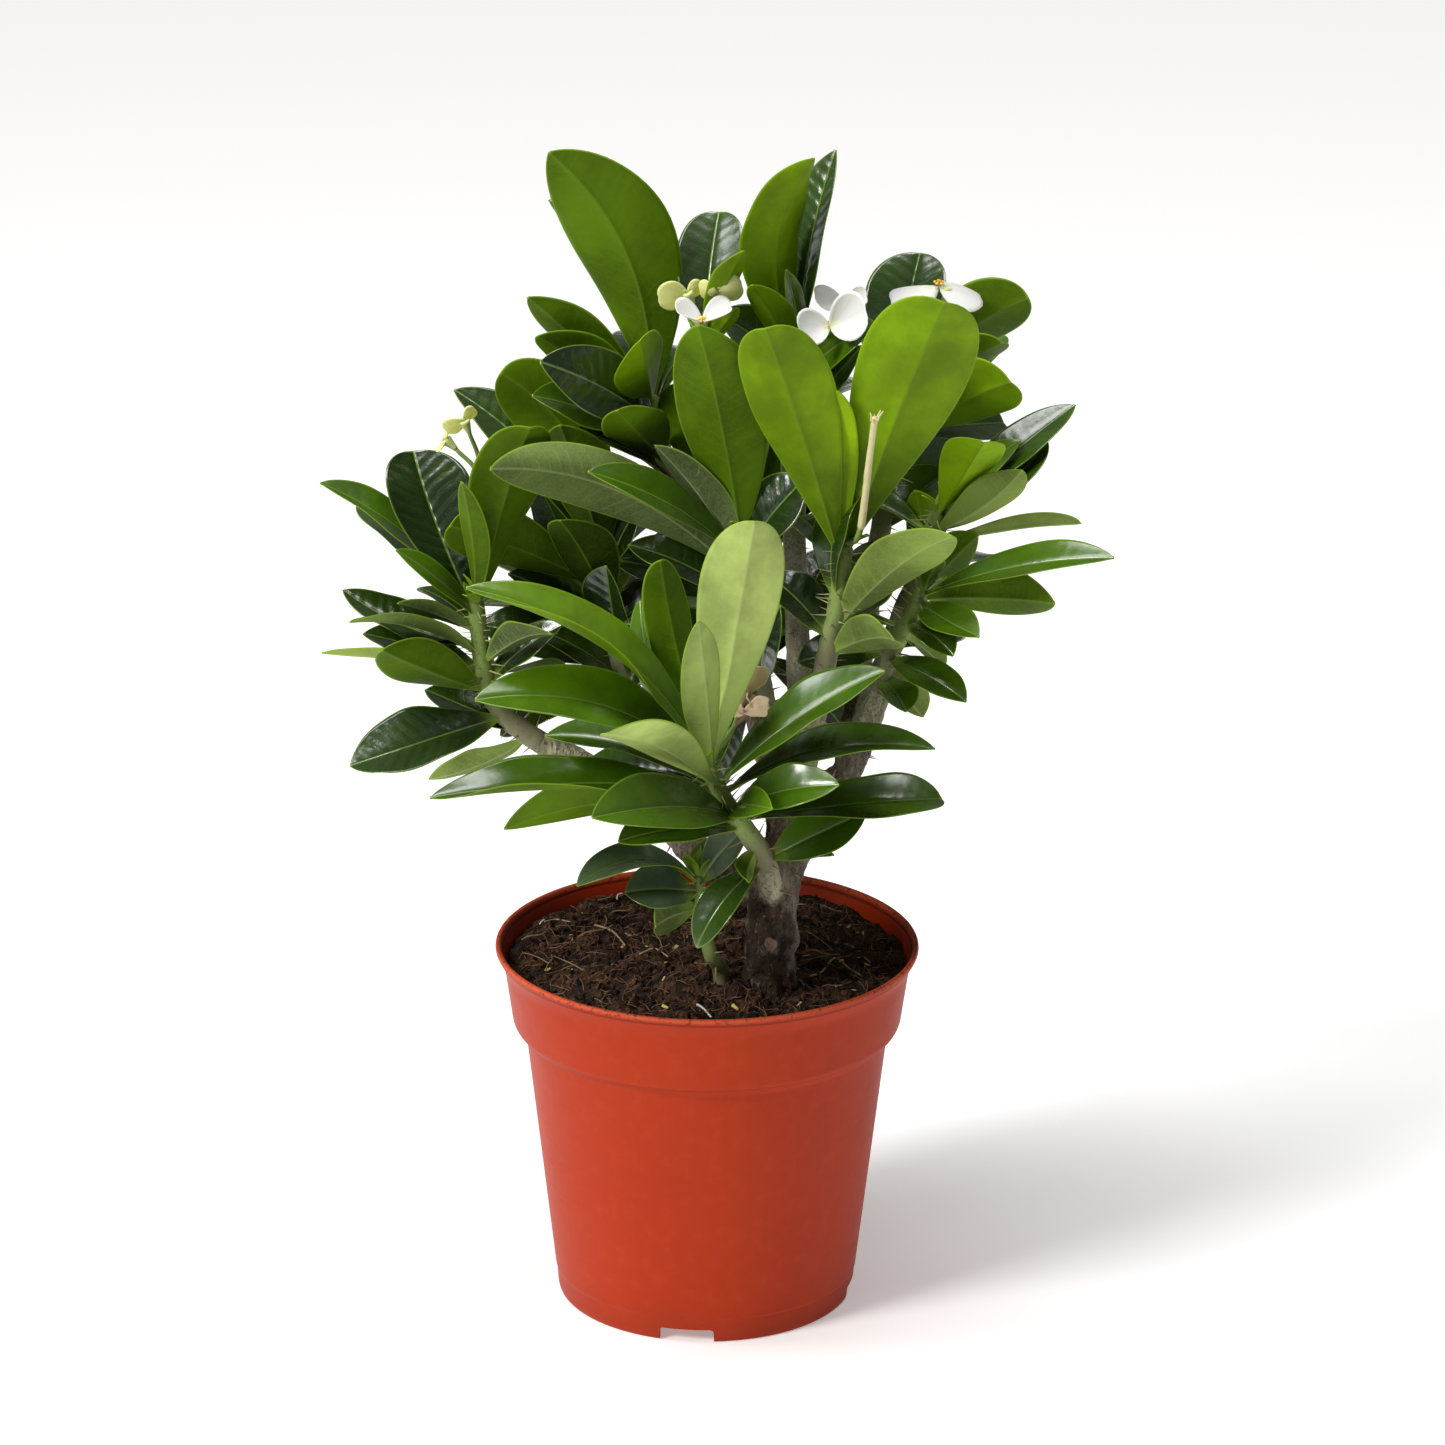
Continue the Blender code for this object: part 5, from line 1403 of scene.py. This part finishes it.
# One bract: a rounded, saucered sheet with its own thickness.
def bractShape(centre, across, facing, size, cupping, crumple, rng):
    rings, sides = bloom["rings"], bloom["sides"]
    other = facing.cross(across)
    verts, faces, places = [], [], []
    seedShift = Vector((rng.random(), rng.random(), rng.random())) * 9
    for face in (1, -1):
        for r in range(rings + 1):
            rho = r / rings
            for k in range(sides):
                turn = 2 * math.pi * k / sides
                x = size * (0.5 + 0.5 * rho * math.cos(turn))
                y = size * bloom["breadth"] * rho * math.sin(turn) * (1 - 0.25 * (1 - x / size) ** 2)
                # A shallow notch at the far end.
                swing = turn if turn < math.pi else turn - 2 * math.pi
                x -= size * bloom["notch"] * rho**6 * math.exp(-((swing / 0.35) ** 2))
                reach = math.hypot(x, y)
                lift = cupping * reach + 0.1 * size * (rho**2 - 0.4) * math.copysign(1, cupping)
                lift += size * bloom["ruffle"] * rho**2 * math.sin(2 * turn + seedShift.x)
                spot = centre + across * x + other * y + facing * (lift + face * bloom["thick"] / 2)
                if crumple:
                    push = noise.noise_vector(spot * roughScale + seedShift)
                    spot += Vector(push) * crumple * rho
                verts.append(spot)
                places.append((math.atan2(y, x) / math.pi, reach / size, face))
    count = (rings + 1) * sides
    for a, b, c, d in ringFaces(rings + 1, sides):
        face = (a, d, c, b) if a >= sides else (a, d, c)
        faces += [face, tuple(corner + count for corner in (face[0], *face[:0:-1]))]
    for k in range(sides):
        a, b = rings * sides + k, rings * sides + (k + 1) % sides
        faces.append((a, a + count, b + count, b))
    return verts, faces, places


def lathe(centre, up, profile, sides):
    side = up.orthogonal().normalized()
    other = up.cross(side)
    verts, places = [], []
    for i, (radius, height) in enumerate(profile):
        for k in range(sides):
            out = spoke(side, other, 2 * math.pi * k / sides)
            verts.append(centre + out * radius + up * height)
            places.append((k / sides, i / len(profile), 0))
    return verts, capped(len(profile), sides), places


def buildBloom(name, flower, foot, up, finishes, rng):
    kind = flower[1]
    facing, across, size, cupping = flower[3:]
    facing = Vector(facing).normalized()
    across = Vector(across)
    across = (across - facing * across.dot(facing)).normalized()
    foot = foot + up * gap
    sizes = [part * mm for part in (size if isinstance(size, tuple) else (size, size))]
    centre = foot + up * bloom["cupHeight"] + Vector(bloom["shift"].get(name, (0, 0, 0))) * mm
    gathered = Gathered("place")
    crumple = bloom["crumple"][kind]
    for side, size in zip((1, -1), sizes):
        lift = 0.25 * mm * side
        verts, faces, places = bractShape(
            centre + facing * lift, across * side, facing, size, cupping, crumple, rng
        )
        gathered.take(verts, faces, 0, place=places)
    cup, bead = (
        [(radius * mm, height * mm) for radius, height in bloom[key]] for key in ("cup", "bead")
    )
    verts, faces, places = lathe(foot, up, cup, 14)
    gathered.take(verts, faces, 1, place=places)
    # Five glands round the cup, and the stamens between them.
    other = facing.cross(across)
    for k in range(5):
        out = spoke(across, other, 2 * math.pi * (k + 0.25) / 5)
        spot = centre + out * 1.6 * mm + facing * 0.9 * mm
        verts, faces, places = lathe(spot, facing, bead, 8)
        gathered.take(verts, faces, 2, place=places)
        path = [centre + out * 0.35 * mm, centre + out * 0.6 * mm + facing * 1.9 * mm]
        gathered.stem(path, (0.16 * mm, 0.26 * mm), 6, slot=2)
    return gathered.obj(name + "_bracts", *finishes[kind])


pot = dict(
    sides=180,
    rim=85 * mm,
    height=149 * mm,
    wall=1.5 * mm,
    lip=8 * mm,
    bandTop=81.4 * mm,
    bandLow=78 * mm,
    bandFoot=116 * mm,
    shoulder=73 * mm,
    base=60 * mm,
    floor=6.5 * mm,
    footWidth=3.4 * mm,
    step=10 * mm,
    innerStep=115 * mm,
    innerRise=4.5 * mm,
    notchTurn=math.radians(-97.2),
    notches=4,
    notchWide=22 * mm,
    notchHigh=5.6 * mm,
    drains=6,
    drainRing=38 * mm,
    drain=5 * mm,
)


def innerRadius(height):
    lipFoot = pot["height"] - pot["lip"]
    if height > pot["innerStep"]:
        share = (height - pot["bandFoot"]) / (lipFoot - pot["bandFoot"])
        return pot["bandLow"] - pot["wall"] + (pot["bandTop"] - pot["bandLow"]) * share
    share = (height - pot["floor"]) / (pot["innerStep"] - pot["floor"])
    foot = pot["base"] - pot["wall"] + 0.5 * mm
    return foot + (pot["shoulder"] - pot["wall"] - foot) * share


def potMaterial():
    material, shade = newShade("terracotta_plastic")
    where = shade.objectPlace()
    z = shade.parts(where)[2]
    cloud = shade.noise(where, 16, 4)
    mottle = shade.noise(where, 160, 3)
    pores = shade.noise(where, 2200, 2)
    brush = shade.noise(where, 60, 3, 0.6, (1, 1, 9))
    colour = shade.mixed(cloud, (0.36, 0.027, 0.004), (0.43, 0.036, 0.006))
    colour = shade.mixed(shade.mapped(mottle, 0.45, 0.8) * 0.3, colour, (0.48, 0.055, 0.014))
    # A painted highlight along the lip, which is also a little rougher, dirt on the lip, and painted
    # shade in dark lines under the lip and under the band.
    top = pot["height"]
    lip = shade.mapped(abs(z - (top - 0.7 * mm)), 0, 1.6 * mm, 1, 0)
    under = shade.mapped(abs(z - (top - 2.8 * mm)), 0.2 * mm, 0.8 * mm, 1, 0)
    edge = shade.mapped(abs(z - (pot["bandFoot"] - 0.2 * mm)), 0.2 * mm, 0.9 * mm, 1, 0)
    # Painted highlight on the lip; painted shade under the lip and under the band's edge.
    colour = shade.mixed(lip * 0.5, colour, (0.75, 0.15, 0.07))
    colour = shade.mixed(under * 0.6 + edge * 0.3, colour, (0.13, 0.012, 0.004))
    dirt = shade.mapped(shade.noise(where, 600, 4, 0.7), 0.54, 0.62)
    dirt *= shade.mapped(z, top - 3.5 * mm, top - 1.5 * mm)
    colour = shade.mixed(dirt * 0.75, colour, (0.035, 0.018, 0.010))
    # Darker towards the bottom.
    darkerLow = shade.mapped(z + (cloud - 0.5) * 0.02, 0, 18 * mm, 1, 0)
    colour = shade.mixed(darkerLow * 0.3, colour, (0.22, 0.035, 0.018))
    roughness = 0.42 + cloud * 0.1 + shade.mapped(brush, 0.5, 0.8) * 0.08 + lip * 0.05
    height = pores * 0.25 + mottle * 0.25 + brush * 0.2 - under * 2 - edge
    normal = shade.bump(height, 0.14 * mm, 0.6)
    surface(shade, colour, roughness, normal, Specular_IOR_Level=0.12)
    return material


# The profile's corners, rounded: a point between two edges becomes a short arc.
def rounded(corners, steps=4):
    profile = []
    for i, (radius, height, bevel) in enumerate(corners):
        here = Vector((radius, height))
        if not bevel:
            profile.append(here)
            continue
        before = Vector(corners[i - 1][:2]) - here
        after = Vector(corners[(i + 1) % len(corners)][:2]) - here
        a = here + before.normalized() * min(bevel, before.length * 0.45)
        b = here + after.normalized() * min(bevel, after.length * 0.45)
        for k in range(steps + 1):
            t = k / steps
            profile.append(a * (1 - t) ** 2 + here * 2 * t * (1 - t) + b * t**2)
    return profile


def turnedShape(profile, sides):
    verts, faces, rings = [], [], []
    for radius, height in profile:
        if radius < 1e-6:
            rings.append([len(verts)])
            verts.append(Vector((0, 0, height)))
            continue
        rings.append(list(range(len(verts), len(verts) + sides)))
        verts += ringPoints(radius, height, sides)
    for low, high in zip(rings, rings[1:] + rings[:1]):
        if len(low) == len(high) == 1:
            continue
        for k in range(sides):
            m = (k + 1) % sides
            ring = [low[k % len(low)], low[m % len(low)], high[m % len(high)], high[k % len(high)]]
            faces.append(tuple(dict.fromkeys(ring)))
    return verts, faces


def buildPot(material):
    lipFoot = pot["height"] - pot["lip"]
    high, step, base = pot["height"], pot["step"], pot["base"]
    corners = [
        (0, pot["floor"], 0),
        (base - pot["footWidth"], pot["floor"], 0.8 * mm),
        (base - pot["footWidth"], 0, 0.8 * mm),
        (base - 0.5 * mm, 0, 0.9 * mm),
        (base + 0.1 * mm, 2 * mm, 0.8 * mm),
        (base + 0.7 * mm, step, 0.5 * mm),
        (base + 1.1 * mm, step + 0.7 * mm, 0.5 * mm),
        (pot["shoulder"], pot["bandFoot"] - 3 * mm, 2 * mm),
        (pot["bandLow"] - 1.4 * mm, pot["bandFoot"] - 0.9 * mm, 0.9 * mm),
        (pot["bandLow"], pot["bandFoot"] + 1.2 * mm, 1.6 * mm),
        (pot["bandTop"], lipFoot, 2.5 * mm),
        (pot["rim"] - 0.7 * mm, high - 2.9 * mm, 1.6 * mm),
        (pot["rim"], high - 1.5 * mm, 0.7 * mm),
        (pot["rim"] - 0.5 * mm, high, 0.9 * mm),
        (pot["rim"] - 2.1 * mm, high - 0.1 * mm, 0.9 * mm),
        (innerRadius(lipFoot), lipFoot, 2.5 * mm),
        (innerRadius(pot["innerStep"] + pot["innerRise"]), pot["innerStep"] + pot["innerRise"], 1 * mm),
        (innerRadius(pot["innerStep"]), pot["innerStep"], 1 * mm),
        (innerRadius(pot["floor"] + 3.5 * mm), pot["floor"] + 3.5 * mm, 1 * mm),
        (innerRadius(pot["floor"] + pot["wall"]) - 1.5 * mm, pot["floor"] + pot["wall"], 1 * mm),
        (0, pot["floor"] + pot["wall"], 0),
    ]
    made = solid("pot_plastic", *turnedShape(rounded(corners), pot["sides"]), material)
    cutters = Gathered()
    for k in range(pot["notches"]):
        turn = Matrix.Rotation(pot["notchTurn"] + math.pi / 2 * k, 3, "Z")
        cutters.take(*notchShape(turn))
    for k in range(pot["drains"]):
        turn = pot["notchTurn"] + 2 * math.pi * (k + 0.5) / pot["drains"]
        centre = Vector((math.cos(turn), math.sin(turn), 0)) * pot["drainRing"]
        ends = [centre + Vector((0, 0, pot["floor"] + z * mm)) for z in (-4, 9)]
        cutters.take(*tube(ends, (pot["drain"], pot["drain"]), 28))
    tool = cutters.obj("pot_cutters", smooth=False)
    boolean = made.modifiers.new("Cut", "BOOLEAN")
    boolean.object = tool
    boolean.operation = "DIFFERENCE"
    boolean.solver = "EXACT"
    mesh = applied(made)
    made.modifiers.clear()
    made.data = mesh
    mesh.name = "pot_plastic"
    bpy.data.objects.remove(tool, do_unlink=True)
    mesh.materials.clear()
    mesh.materials.append(material)
    mesh.polygons.foreach_set("material_index", [0] * len(mesh.polygons))
    mesh.shade_smooth()
    mesh.set_sharp_from_angle(angle=math.radians(38))
    return made


# A foot notch: upright sides, with the two upper corners rounded.
def notchShape(turn):
    half, high, corner = pot["notchWide"] / 2, pot["notchHigh"], 1.6 * mm
    outline = [(-half, -3 * mm)]
    for middle, start in ((-half + corner, math.pi), (half - corner, math.pi / 2)):
        for k in range(5):
            angle = start - math.pi / 2 * k / 4
            outline.append(
                (middle + corner * math.cos(angle), high - corner + corner * math.sin(angle))
            )
    outline.append((half, -3 * mm))
    deep = (pot["base"] - 9 * mm, pot["base"] + 5 * mm)
    verts = [turn @ Vector((x, y, z)) for x in deep for y, z in outline]
    n = len(outline)
    faces = [(k, k + n, (k + 1) % n + n, (k + 1) % n) for k in range(n)]
    faces += [tuple(range(n)), tuple(reversed(range(n, 2 * n)))]
    return verts, faces


soil = dict(
    edge=142.5 * mm,
    mound=3 * mm,
    rings=64,
    sides=200,
    discRings=30,
    discSides=96,
    lumps=(3.0 * mm, 75),
    clods=(2.2 * mm, 230),
    grit=(1.0 * mm, 620),
)


def peatMaterial(name, low, high, rough=0.95):
    material, shade = newShade(name)
    where = shade.objectPlace()
    cloud = shade.noise(where, 130, 5, 0.65)
    fleck = shade.noise(where, 1100, 3, 0.7)
    fibre = shade.noise(where, 380, 3, 0.6, (1, 0.25, 1))
    colour = shade.mixed(shade.mapped(cloud, 0.38, 0.68), low, high)
    colour = shade.mixed(shade.mapped(fleck, 0.58, 0.76) * 0.5, colour, (0.19, 0.085, 0.038))
    colour = shade.mixed(shade.mapped(fibre, 0.6, 0.75) * 0.4, colour, (0.10, 0.042, 0.018))
    height = cloud * 0.5 + fleck * 0.6 + fibre * 0.4
    normal = shade.bump(height, 1.0 * mm, 1)
    surface(shade, colour, rough, normal, Specular_IOR_Level=0.25)
    return material


def soilHeight(x, y):
    radius = math.hypot(x, y)
    edge = innerRadius(soil["edge"])
    height = soil["edge"] + soil["mound"] * math.cos(min(1, radius / edge) * math.pi / 2)
    for size, scale in (soil["lumps"], soil["clods"], soil["grit"]):
        height += noise.noise(Vector((x, y, size * 900)) * scale) * size
    return height - 0.9 * mm * (radius / edge) ** 6


# A ring of points on the soil's surface.
def onSoil(radius, sides):
    ring = []
    for k in range(sides):
        turn = 2 * math.pi * k / sides
        x, y = radius * math.cos(turn), radius * math.sin(turn)
        ring.append(Vector((x, y, soilHeight(x, y))))
    return ring


def buildSoil(material):
    bottom = pot["floor"] + pot["wall"] + gap
    verts = []
    sides, rings = soil["sides"], soil["rings"]
    edge = innerRadius(soil["edge"]) - 0.5 * mm
    walls = [
        (innerRadius(bottom) - 3 * mm, bottom),
        (innerRadius(bottom + 6 * mm) - 0.6 * mm, bottom + 6 * mm),
        (innerRadius(pot["innerStep"]) - 0.6 * mm, pot["innerStep"] + 0.4 * mm),
        (innerRadius(pot["innerStep"] + 6 * mm) - 0.6 * mm, pot["innerStep"] + 6 * mm),
        (innerRadius(soil["edge"] - 7 * mm) - 0.6 * mm, soil["edge"] - 7 * mm),
    ]
    for radius, height in walls:
        verts += ringPoints(radius, height, sides)
    for i in range(rings):
        verts += onSoil(edge * (1 - i / rings), sides)
    verts += onSoil(0, 1)
    total = len(walls) + rings
    faces = ringFaces(total, sides)
    last = (total - 1) * sides
    for k in range(sides):
        faces.append((last + k, last + (k + 1) % sides, len(verts) - 1))
    faces.append(tuple(reversed(range(sides))))
    return solid("peat_bed", verts, faces, material)


# A plain disc of the soil's surface, on which loose bits are scattered.
def soilDisc(name, inset):
    rings, sides = soil["discRings"], soil["discSides"]
    edge = innerRadius(soil["edge"]) - inset
    verts, faces = onSoil(0, 1), []
    for i in range(1, rings + 1):
        verts += onSoil(edge * i / rings, sides)
    for k in range(sides):
        m = (k + 1) % sides
        faces.append((0, 1 + k, 1 + m))
        for i in range(rings - 1):
            a, b = 1 + i * sides + k, 1 + i * sides + m
            faces.append((a, a + sides, b + sides, b))
    return solid(name, verts, faces)


def scatter(name, material, shape, density, low, high, seed, flat, inset, sink):
    grow = Growth(name, Density=float(density), Low=low * mm, High=high * mm, Seed=seed,
                  Material=material)
    given = grow.given
    spots = grow.add(
        "GeometryNodeDistributePointsOnFaces", None,
        {"Mesh": given["Geometry"], "Density": given["Density"], "Seed": given["Seed"]},
    )
    piece = shape(grow)
    spin = grow.randomVector((-flat, -flat, 0), (flat, flat, 6.283), given["Seed"] + 3)
    size = grow.random(given["Low"], given["High"], given["Seed"] + 4)
    stretch = grow.randomVector((0.7, 0.55, 0.5), (1.5, 1.2, 0.95), given["Seed"] + 5)
    lift = grow.add("ShaderNodeCombineXYZ", None, {2: -sink * mm})[0]
    sunk = grow.moved(spots["Points"], lift)
    grow.end(sunk, piece, spin, grow.scaled(stretch, size), given["Material"])
    return grow.run(name, soilDisc(name + "_ground", inset * mm))


# A shape pushed out of true.
def crumpled(grow, shape, scale, detail, strength):
    spot = grow.add("GeometryNodeInputPosition")[0]
    inputs = {"Vector": spot, "Scale": scale, "Detail": detail}
    lumps = grow.add("ShaderNodeTexNoise", None, inputs)[1]
    return grow.moved(shape, grow.scaled(grow.vector("SUBTRACT", lumps, (0.5, 0.5, 0.5)), strength))


# A crumb: a small ball pushed out of shape.
def crumbShape(grow):
    ball = grow.add("GeometryNodeMeshUVSphere", None, {"Segments": 7, "Rings": 5, "Radius": 1.0})[0]
    return crumpled(grow, ball, 1.3, 2, 1.6)


# A fibre: a thin bent strand lying on the soil.
def fibreShape(grow):
    arc = grow.add(
        "GeometryNodeCurvePrimitiveBezierSegment", None,
        {"Resolution": 5, "Start": (-1, 0, -0.1), "Start Handle": (-0.3, 0.3, 0.5),
         "End Handle": (0.3, -0.25, 0.1), "End": (0.9, 0.3, 0.45)},
    )[0]
    ring = grow.add("GeometryNodeCurvePrimitiveCircle", None, {"Resolution": 3, "Radius": 0.07})[0]
    return grow.add(
        "GeometryNodeCurveToMesh", None, {"Curve": arc, "Profile Curve": ring, "Fill Caps": True}
    )[0]


# A chip: a thin splinter with square ends.
def chipShape(grow):
    block = grow.add(
        "GeometryNodeMeshCube", None,
        {"Size": (2.0, 0.7, 0.22), "Vertices X": 3, "Vertices Y": 2, "Vertices Z": 2},
    )[0]
    return crumpled(grow, block, 1.1, 1, 0.7)


# Loose bits: finish, shape, how many to the square metre, smallest and largest in mm,
# seed, tilt, and mm in from the pot's wall and down into the peat.
looseBits = {
    "peat_crumbs": ("crumb", crumbShape, 120000, 0.5, 1.7, 11, 3.1, 3, 0),
    "peat_clods": ("crumb", crumbShape, 20000, 1.2, 3.4, 12, 3.1, 4, 0.8),
    "peat_shreds": ("shred", fibreShape, 60000, 1.0, 3.4, 13, 0.7, 5, -0.8),
    "peat_twigs": ("twig", fibreShape, 4200, 2.5, 6.5, 15, 0.25, 9, -1.6),
    "peat_chips": ("chip", chipShape, 2200, 0.5, 1.6, 14, 0.5, 8, -1.2),
}
# Bits that catch the eye on the peat: pale slivers, rootlets and yellow chips.
slivers = [
    ("white", 0.55, [(690, 1001), (701, 1009), (712, 1015)]),
    ("white", 0.45, [(510, 915), (515, 919), (520, 922)]),
    ("white", 0.45, [(610, 885), (614, 892), (617, 898)]),
    ("tan", 0.5, [(595, 930), (612, 938), (625, 950)]),
    ("tan", 0.45, [(810, 980), (822, 972), (835, 960), (848, 966), (860, 975)]),
    ("tan", 0.4, [(835, 940), (852, 948), (870, 960)]),
    ("tan", 0.4, [(545, 925), (556, 921), (570, 926)]),
    ("tan", 0.4, [(640, 962), (655, 958), (668, 965)]),
    ("yellow", 0.9, [(733, 1011), (738, 1013)]),
    ("yellow", 0.8, [(663, 1009), (668, 1011)]),
    ("yellow", 0.8, [(568, 967), (573, 969)]),
    ("yellow", 0.7, [(546, 967), (550, 969)]),
    ("yellow", 0.7, [(838, 962), (843, 961)]),
]
sliverWay = dict(fromWall=6 * mm, above=1.2 * mm, taper=0.7, sides=6, rough=0.1 * mm)


def buildSlivers():
    finishes = {
        "white": plainMaterial("white_sliver", (0.55, 0.55, 0.50), (0.80, 0.80, 0.76)),
        "tan": plainMaterial("rootlet", (0.26, 0.15, 0.08), (0.50, 0.36, 0.22)),
        "yellow": plainMaterial("yellow_chip", (0.50, 0.36, 0.05), (0.75, 0.60, 0.16)),
    }
    widest = innerRadius(soil["edge"]) - sliverWay["fromWall"]
    gathered = Gathered()
    for kind, girth, row in slivers:
        points = []
        for spot in row:
            ground = grounded(*spot, soil["edge"] + soil["mound"] / 2)
            reach = (ground.x**2 + ground.y**2) ** 0.5
            ground *= min(1, widest / reach)
            height = soilHeight(ground.x, ground.y) + sliverWay["above"]
            points.append(Vector((ground.x, ground.y, height)))
        girths = (girth * mm, girth * sliverWay["taper"] * mm)
        gathered.stem(
            smoothPath(points, 3), girths, sliverWay["sides"], sliverWay["rough"],
            slot=list(finishes).index(kind)
        )
    return gathered.obj("peat_slivers", *finishes.values())


def buildStub(end, up, rng):
    corners = [end + up * gap, *(seen(*point) for point in stub["path"])]
    path = smoothPath(corners, wood["fineSteps"])
    gathered = Gathered("place")
    girths = (wood["stub"], wood["stub"] * stub["taper"])
    gathered.stem(path, girths, stub["sides"], stub["rough"], 3)
    # Its torn top: a few ragged shreds.
    ahead = (path[-1] - path[-2]).normalized()
    for k in range(stub["shreds"]):
        out = Matrix.Rotation(k * 0.9, 3, ahead) @ ahead.orthogonal().normalized()
        start = path[-1] + out * 0.9 * mm - ahead * 1.5 * mm
        high = rng.uniform(*stub["shredHigh"]) * mm
        middle = start + ahead * high * 0.6 + out * 0.7 * mm
        shred = [start, middle, middle + ahead * high * 0.5 + out * rng.uniform(0.2, 1.2) * mm]
        gathered.stem(shred, stub["shredGirth"], 5)
    dry = plainMaterial("dry_stalk", (0.56, 0.50, 0.22), (0.80, 0.74, 0.42))
    return gathered.obj("dry_stub", dry)


# Leaves with a greyer top, from the stalk to the tip.
greyTops = {"sucker": (0.85, 0.75)}
# Leaves whose margin curls over: which side, from where along, how tightly.
curls = {
    ("front_low", 2): (-1, 0.35, 0.5),
    ("front_low", 5): (-1, 0.4, 0.4),
    ("centre", 2): (-1, 0.3, 0.5),
}


def buildHeads(heads, stalks, blades):
    leafSkins, stemSkin, thorn = leafMaterials(), stemMaterial(), spineMaterial()
    bristle = plainMaterial("bristle", (0.34, 0.42, 0.10), (0.62, 0.60, 0.30))
    for number, (name, head) in enumerate(heads.items()):
        rng = random.Random(100 + number)
        node = "sucker" if name == "sucker" else "leafy_stem_" + name
        gathered = Gathered("place", "kind")
        marks = freshnessAndPaintedLight[name]
        for i, leaf in blades[name]:
            mark = rng.choice("1234") if i is None else marks[i]
            verts, faces, slots, places, kinds = fineLeaf(
                leaf, mark, rng, curls.get((name, i)), greyTops.get(name, (0, 0))
            )
            gathered.take(verts, faces, slots, place=places, kind=kinds)
        tip, before = head["fine"][-1], head["fine"][-2]
        up = (tip - before).normalized()
        # Small young leaves round the growing tip.
        for k in range(4):
            out = Matrix.Rotation(k * goldenTurn + number, 3, up) @ up.orthogonal()
            end = tip + up * (13 - 2 * k) * mm + out * (2.5 + 1.5 * k) * mm
            bud = Leaf(tip - up * mm, up, end, 4.5 + 0.6 * k, None, 0, 0.08)
            verts, faces, slots, places, kinds = fineLeaf(bud, "8", rng)
            gathered.take(verts, faces, slots, place=places, kind=kinds)
        place(gathered.obj("leaves_" + name, *leafSkins), "foliage", node)

        stems = Gathered("place")
        stems.stem(head["fine"], head["girths"], 14, 0.5 * mm, number)
        for path, radius in stalks[name]:
            verts, faces, places = fineTube(path, (radius * 1.05, radius * 0.8), 8, 0, number)
            stems.take(verts, faces, place=[(1, 0, 0)] * len(verts))
        place(stems.obj("stem_" + name, stemSkin), "foliage")
        bare = head["fine"][12:] if name == "sucker" else head["fine"]
        place(growSpines("spines_" + name, [(bare, head["girths"])], thorn, number, "head"), "bark")
        # Pale bristles crowd the young end, between the leaf bases.
        young = (bare[len(bare) // 2:], (head["girths"][1] * 1.1, head["girths"][1]))
        place(growSpines("bristles_" + name, [young], bristle, number + 50, "bristle"), "foliage")
    return thorn


def main():
    print("camera and light")
    placeCamera()
    lightStudio()
    print("placing the plant")
    limbPaths, heads, stalks, ends, blades = placePlant()

    print("pot and soil")
    place(buildPot(potMaterial()), "pot_plastic", "pot")
    place(buildSoil(peatMaterial("dark_peat", (0.008, 0.004, 0.0025), (0.05, 0.025, 0.013))),
          "peat", "soil")
    finishes = {
        "crumb": peatMaterial("peat_crumb", (0.007, 0.004, 0.0025), (0.12, 0.056, 0.028)),
        "shred": plainMaterial("peat_shred", (0.03, 0.012, 0.006), (0.34, 0.16, 0.075)),
        "twig": plainMaterial("peat_twig", (0.10, 0.055, 0.03), (0.36, 0.25, 0.15)),
        "chip": plainMaterial("pale_chip", (0.40, 0.27, 0.09), (0.70, 0.58, 0.34)),
    }
    for name, (finish, *numbers) in looseBits.items():
        place(scatter(name, finishes[finish], *numbers), "peat")
    place(buildSlivers(), "peat")

    print("trunk")
    place(buildTrunk(limbPaths, barkMaterial()), "bark", "trunk")
    print("leaves, stems and spines")
    thorn = buildHeads(heads, stalks, blades)
    woody = [(fine[10:] if name == "bole" else fine, girths)
             for name, _, fine, girths, _ in limbPaths]
    place(growSpines("spines_trunk", woody, thorn, 77, "wood"), "bark")

    print("blooms")
    cupGreen = plainMaterial("bloom_cup", (0.44, 0.54, 0.16), (0.70, 0.74, 0.32))
    gland = plainMaterial("bloom_gland", (0.80, 0.38, 0.03), (0.90, 0.62, 0.10))
    dryCup = plainMaterial("withered_cup", (0.22, 0.13, 0.06), (0.42, 0.29, 0.16))
    finishes = {
        "cream": (petalMaterial("cream"), cupGreen, cupGreen),
        "white": (petalMaterial("white"), cupGreen, gland),
        "straw": (petalMaterial("straw"), dryCup, dryCup),
    }
    slots = {"cream": "cream_bloom", "white": "white_bloom", "straw": "dry_straw"}
    rng = random.Random(5)
    for name, flower in flowers.items():
        bloomed = buildBloom(name, flower, *ends[name], finishes, rng)
        place(bloomed, slots[flower[1]], name)
    place(buildStub(*ends["dry_stalk_stub"], rng), "dry_straw", "dry_stalk_stub")


main()
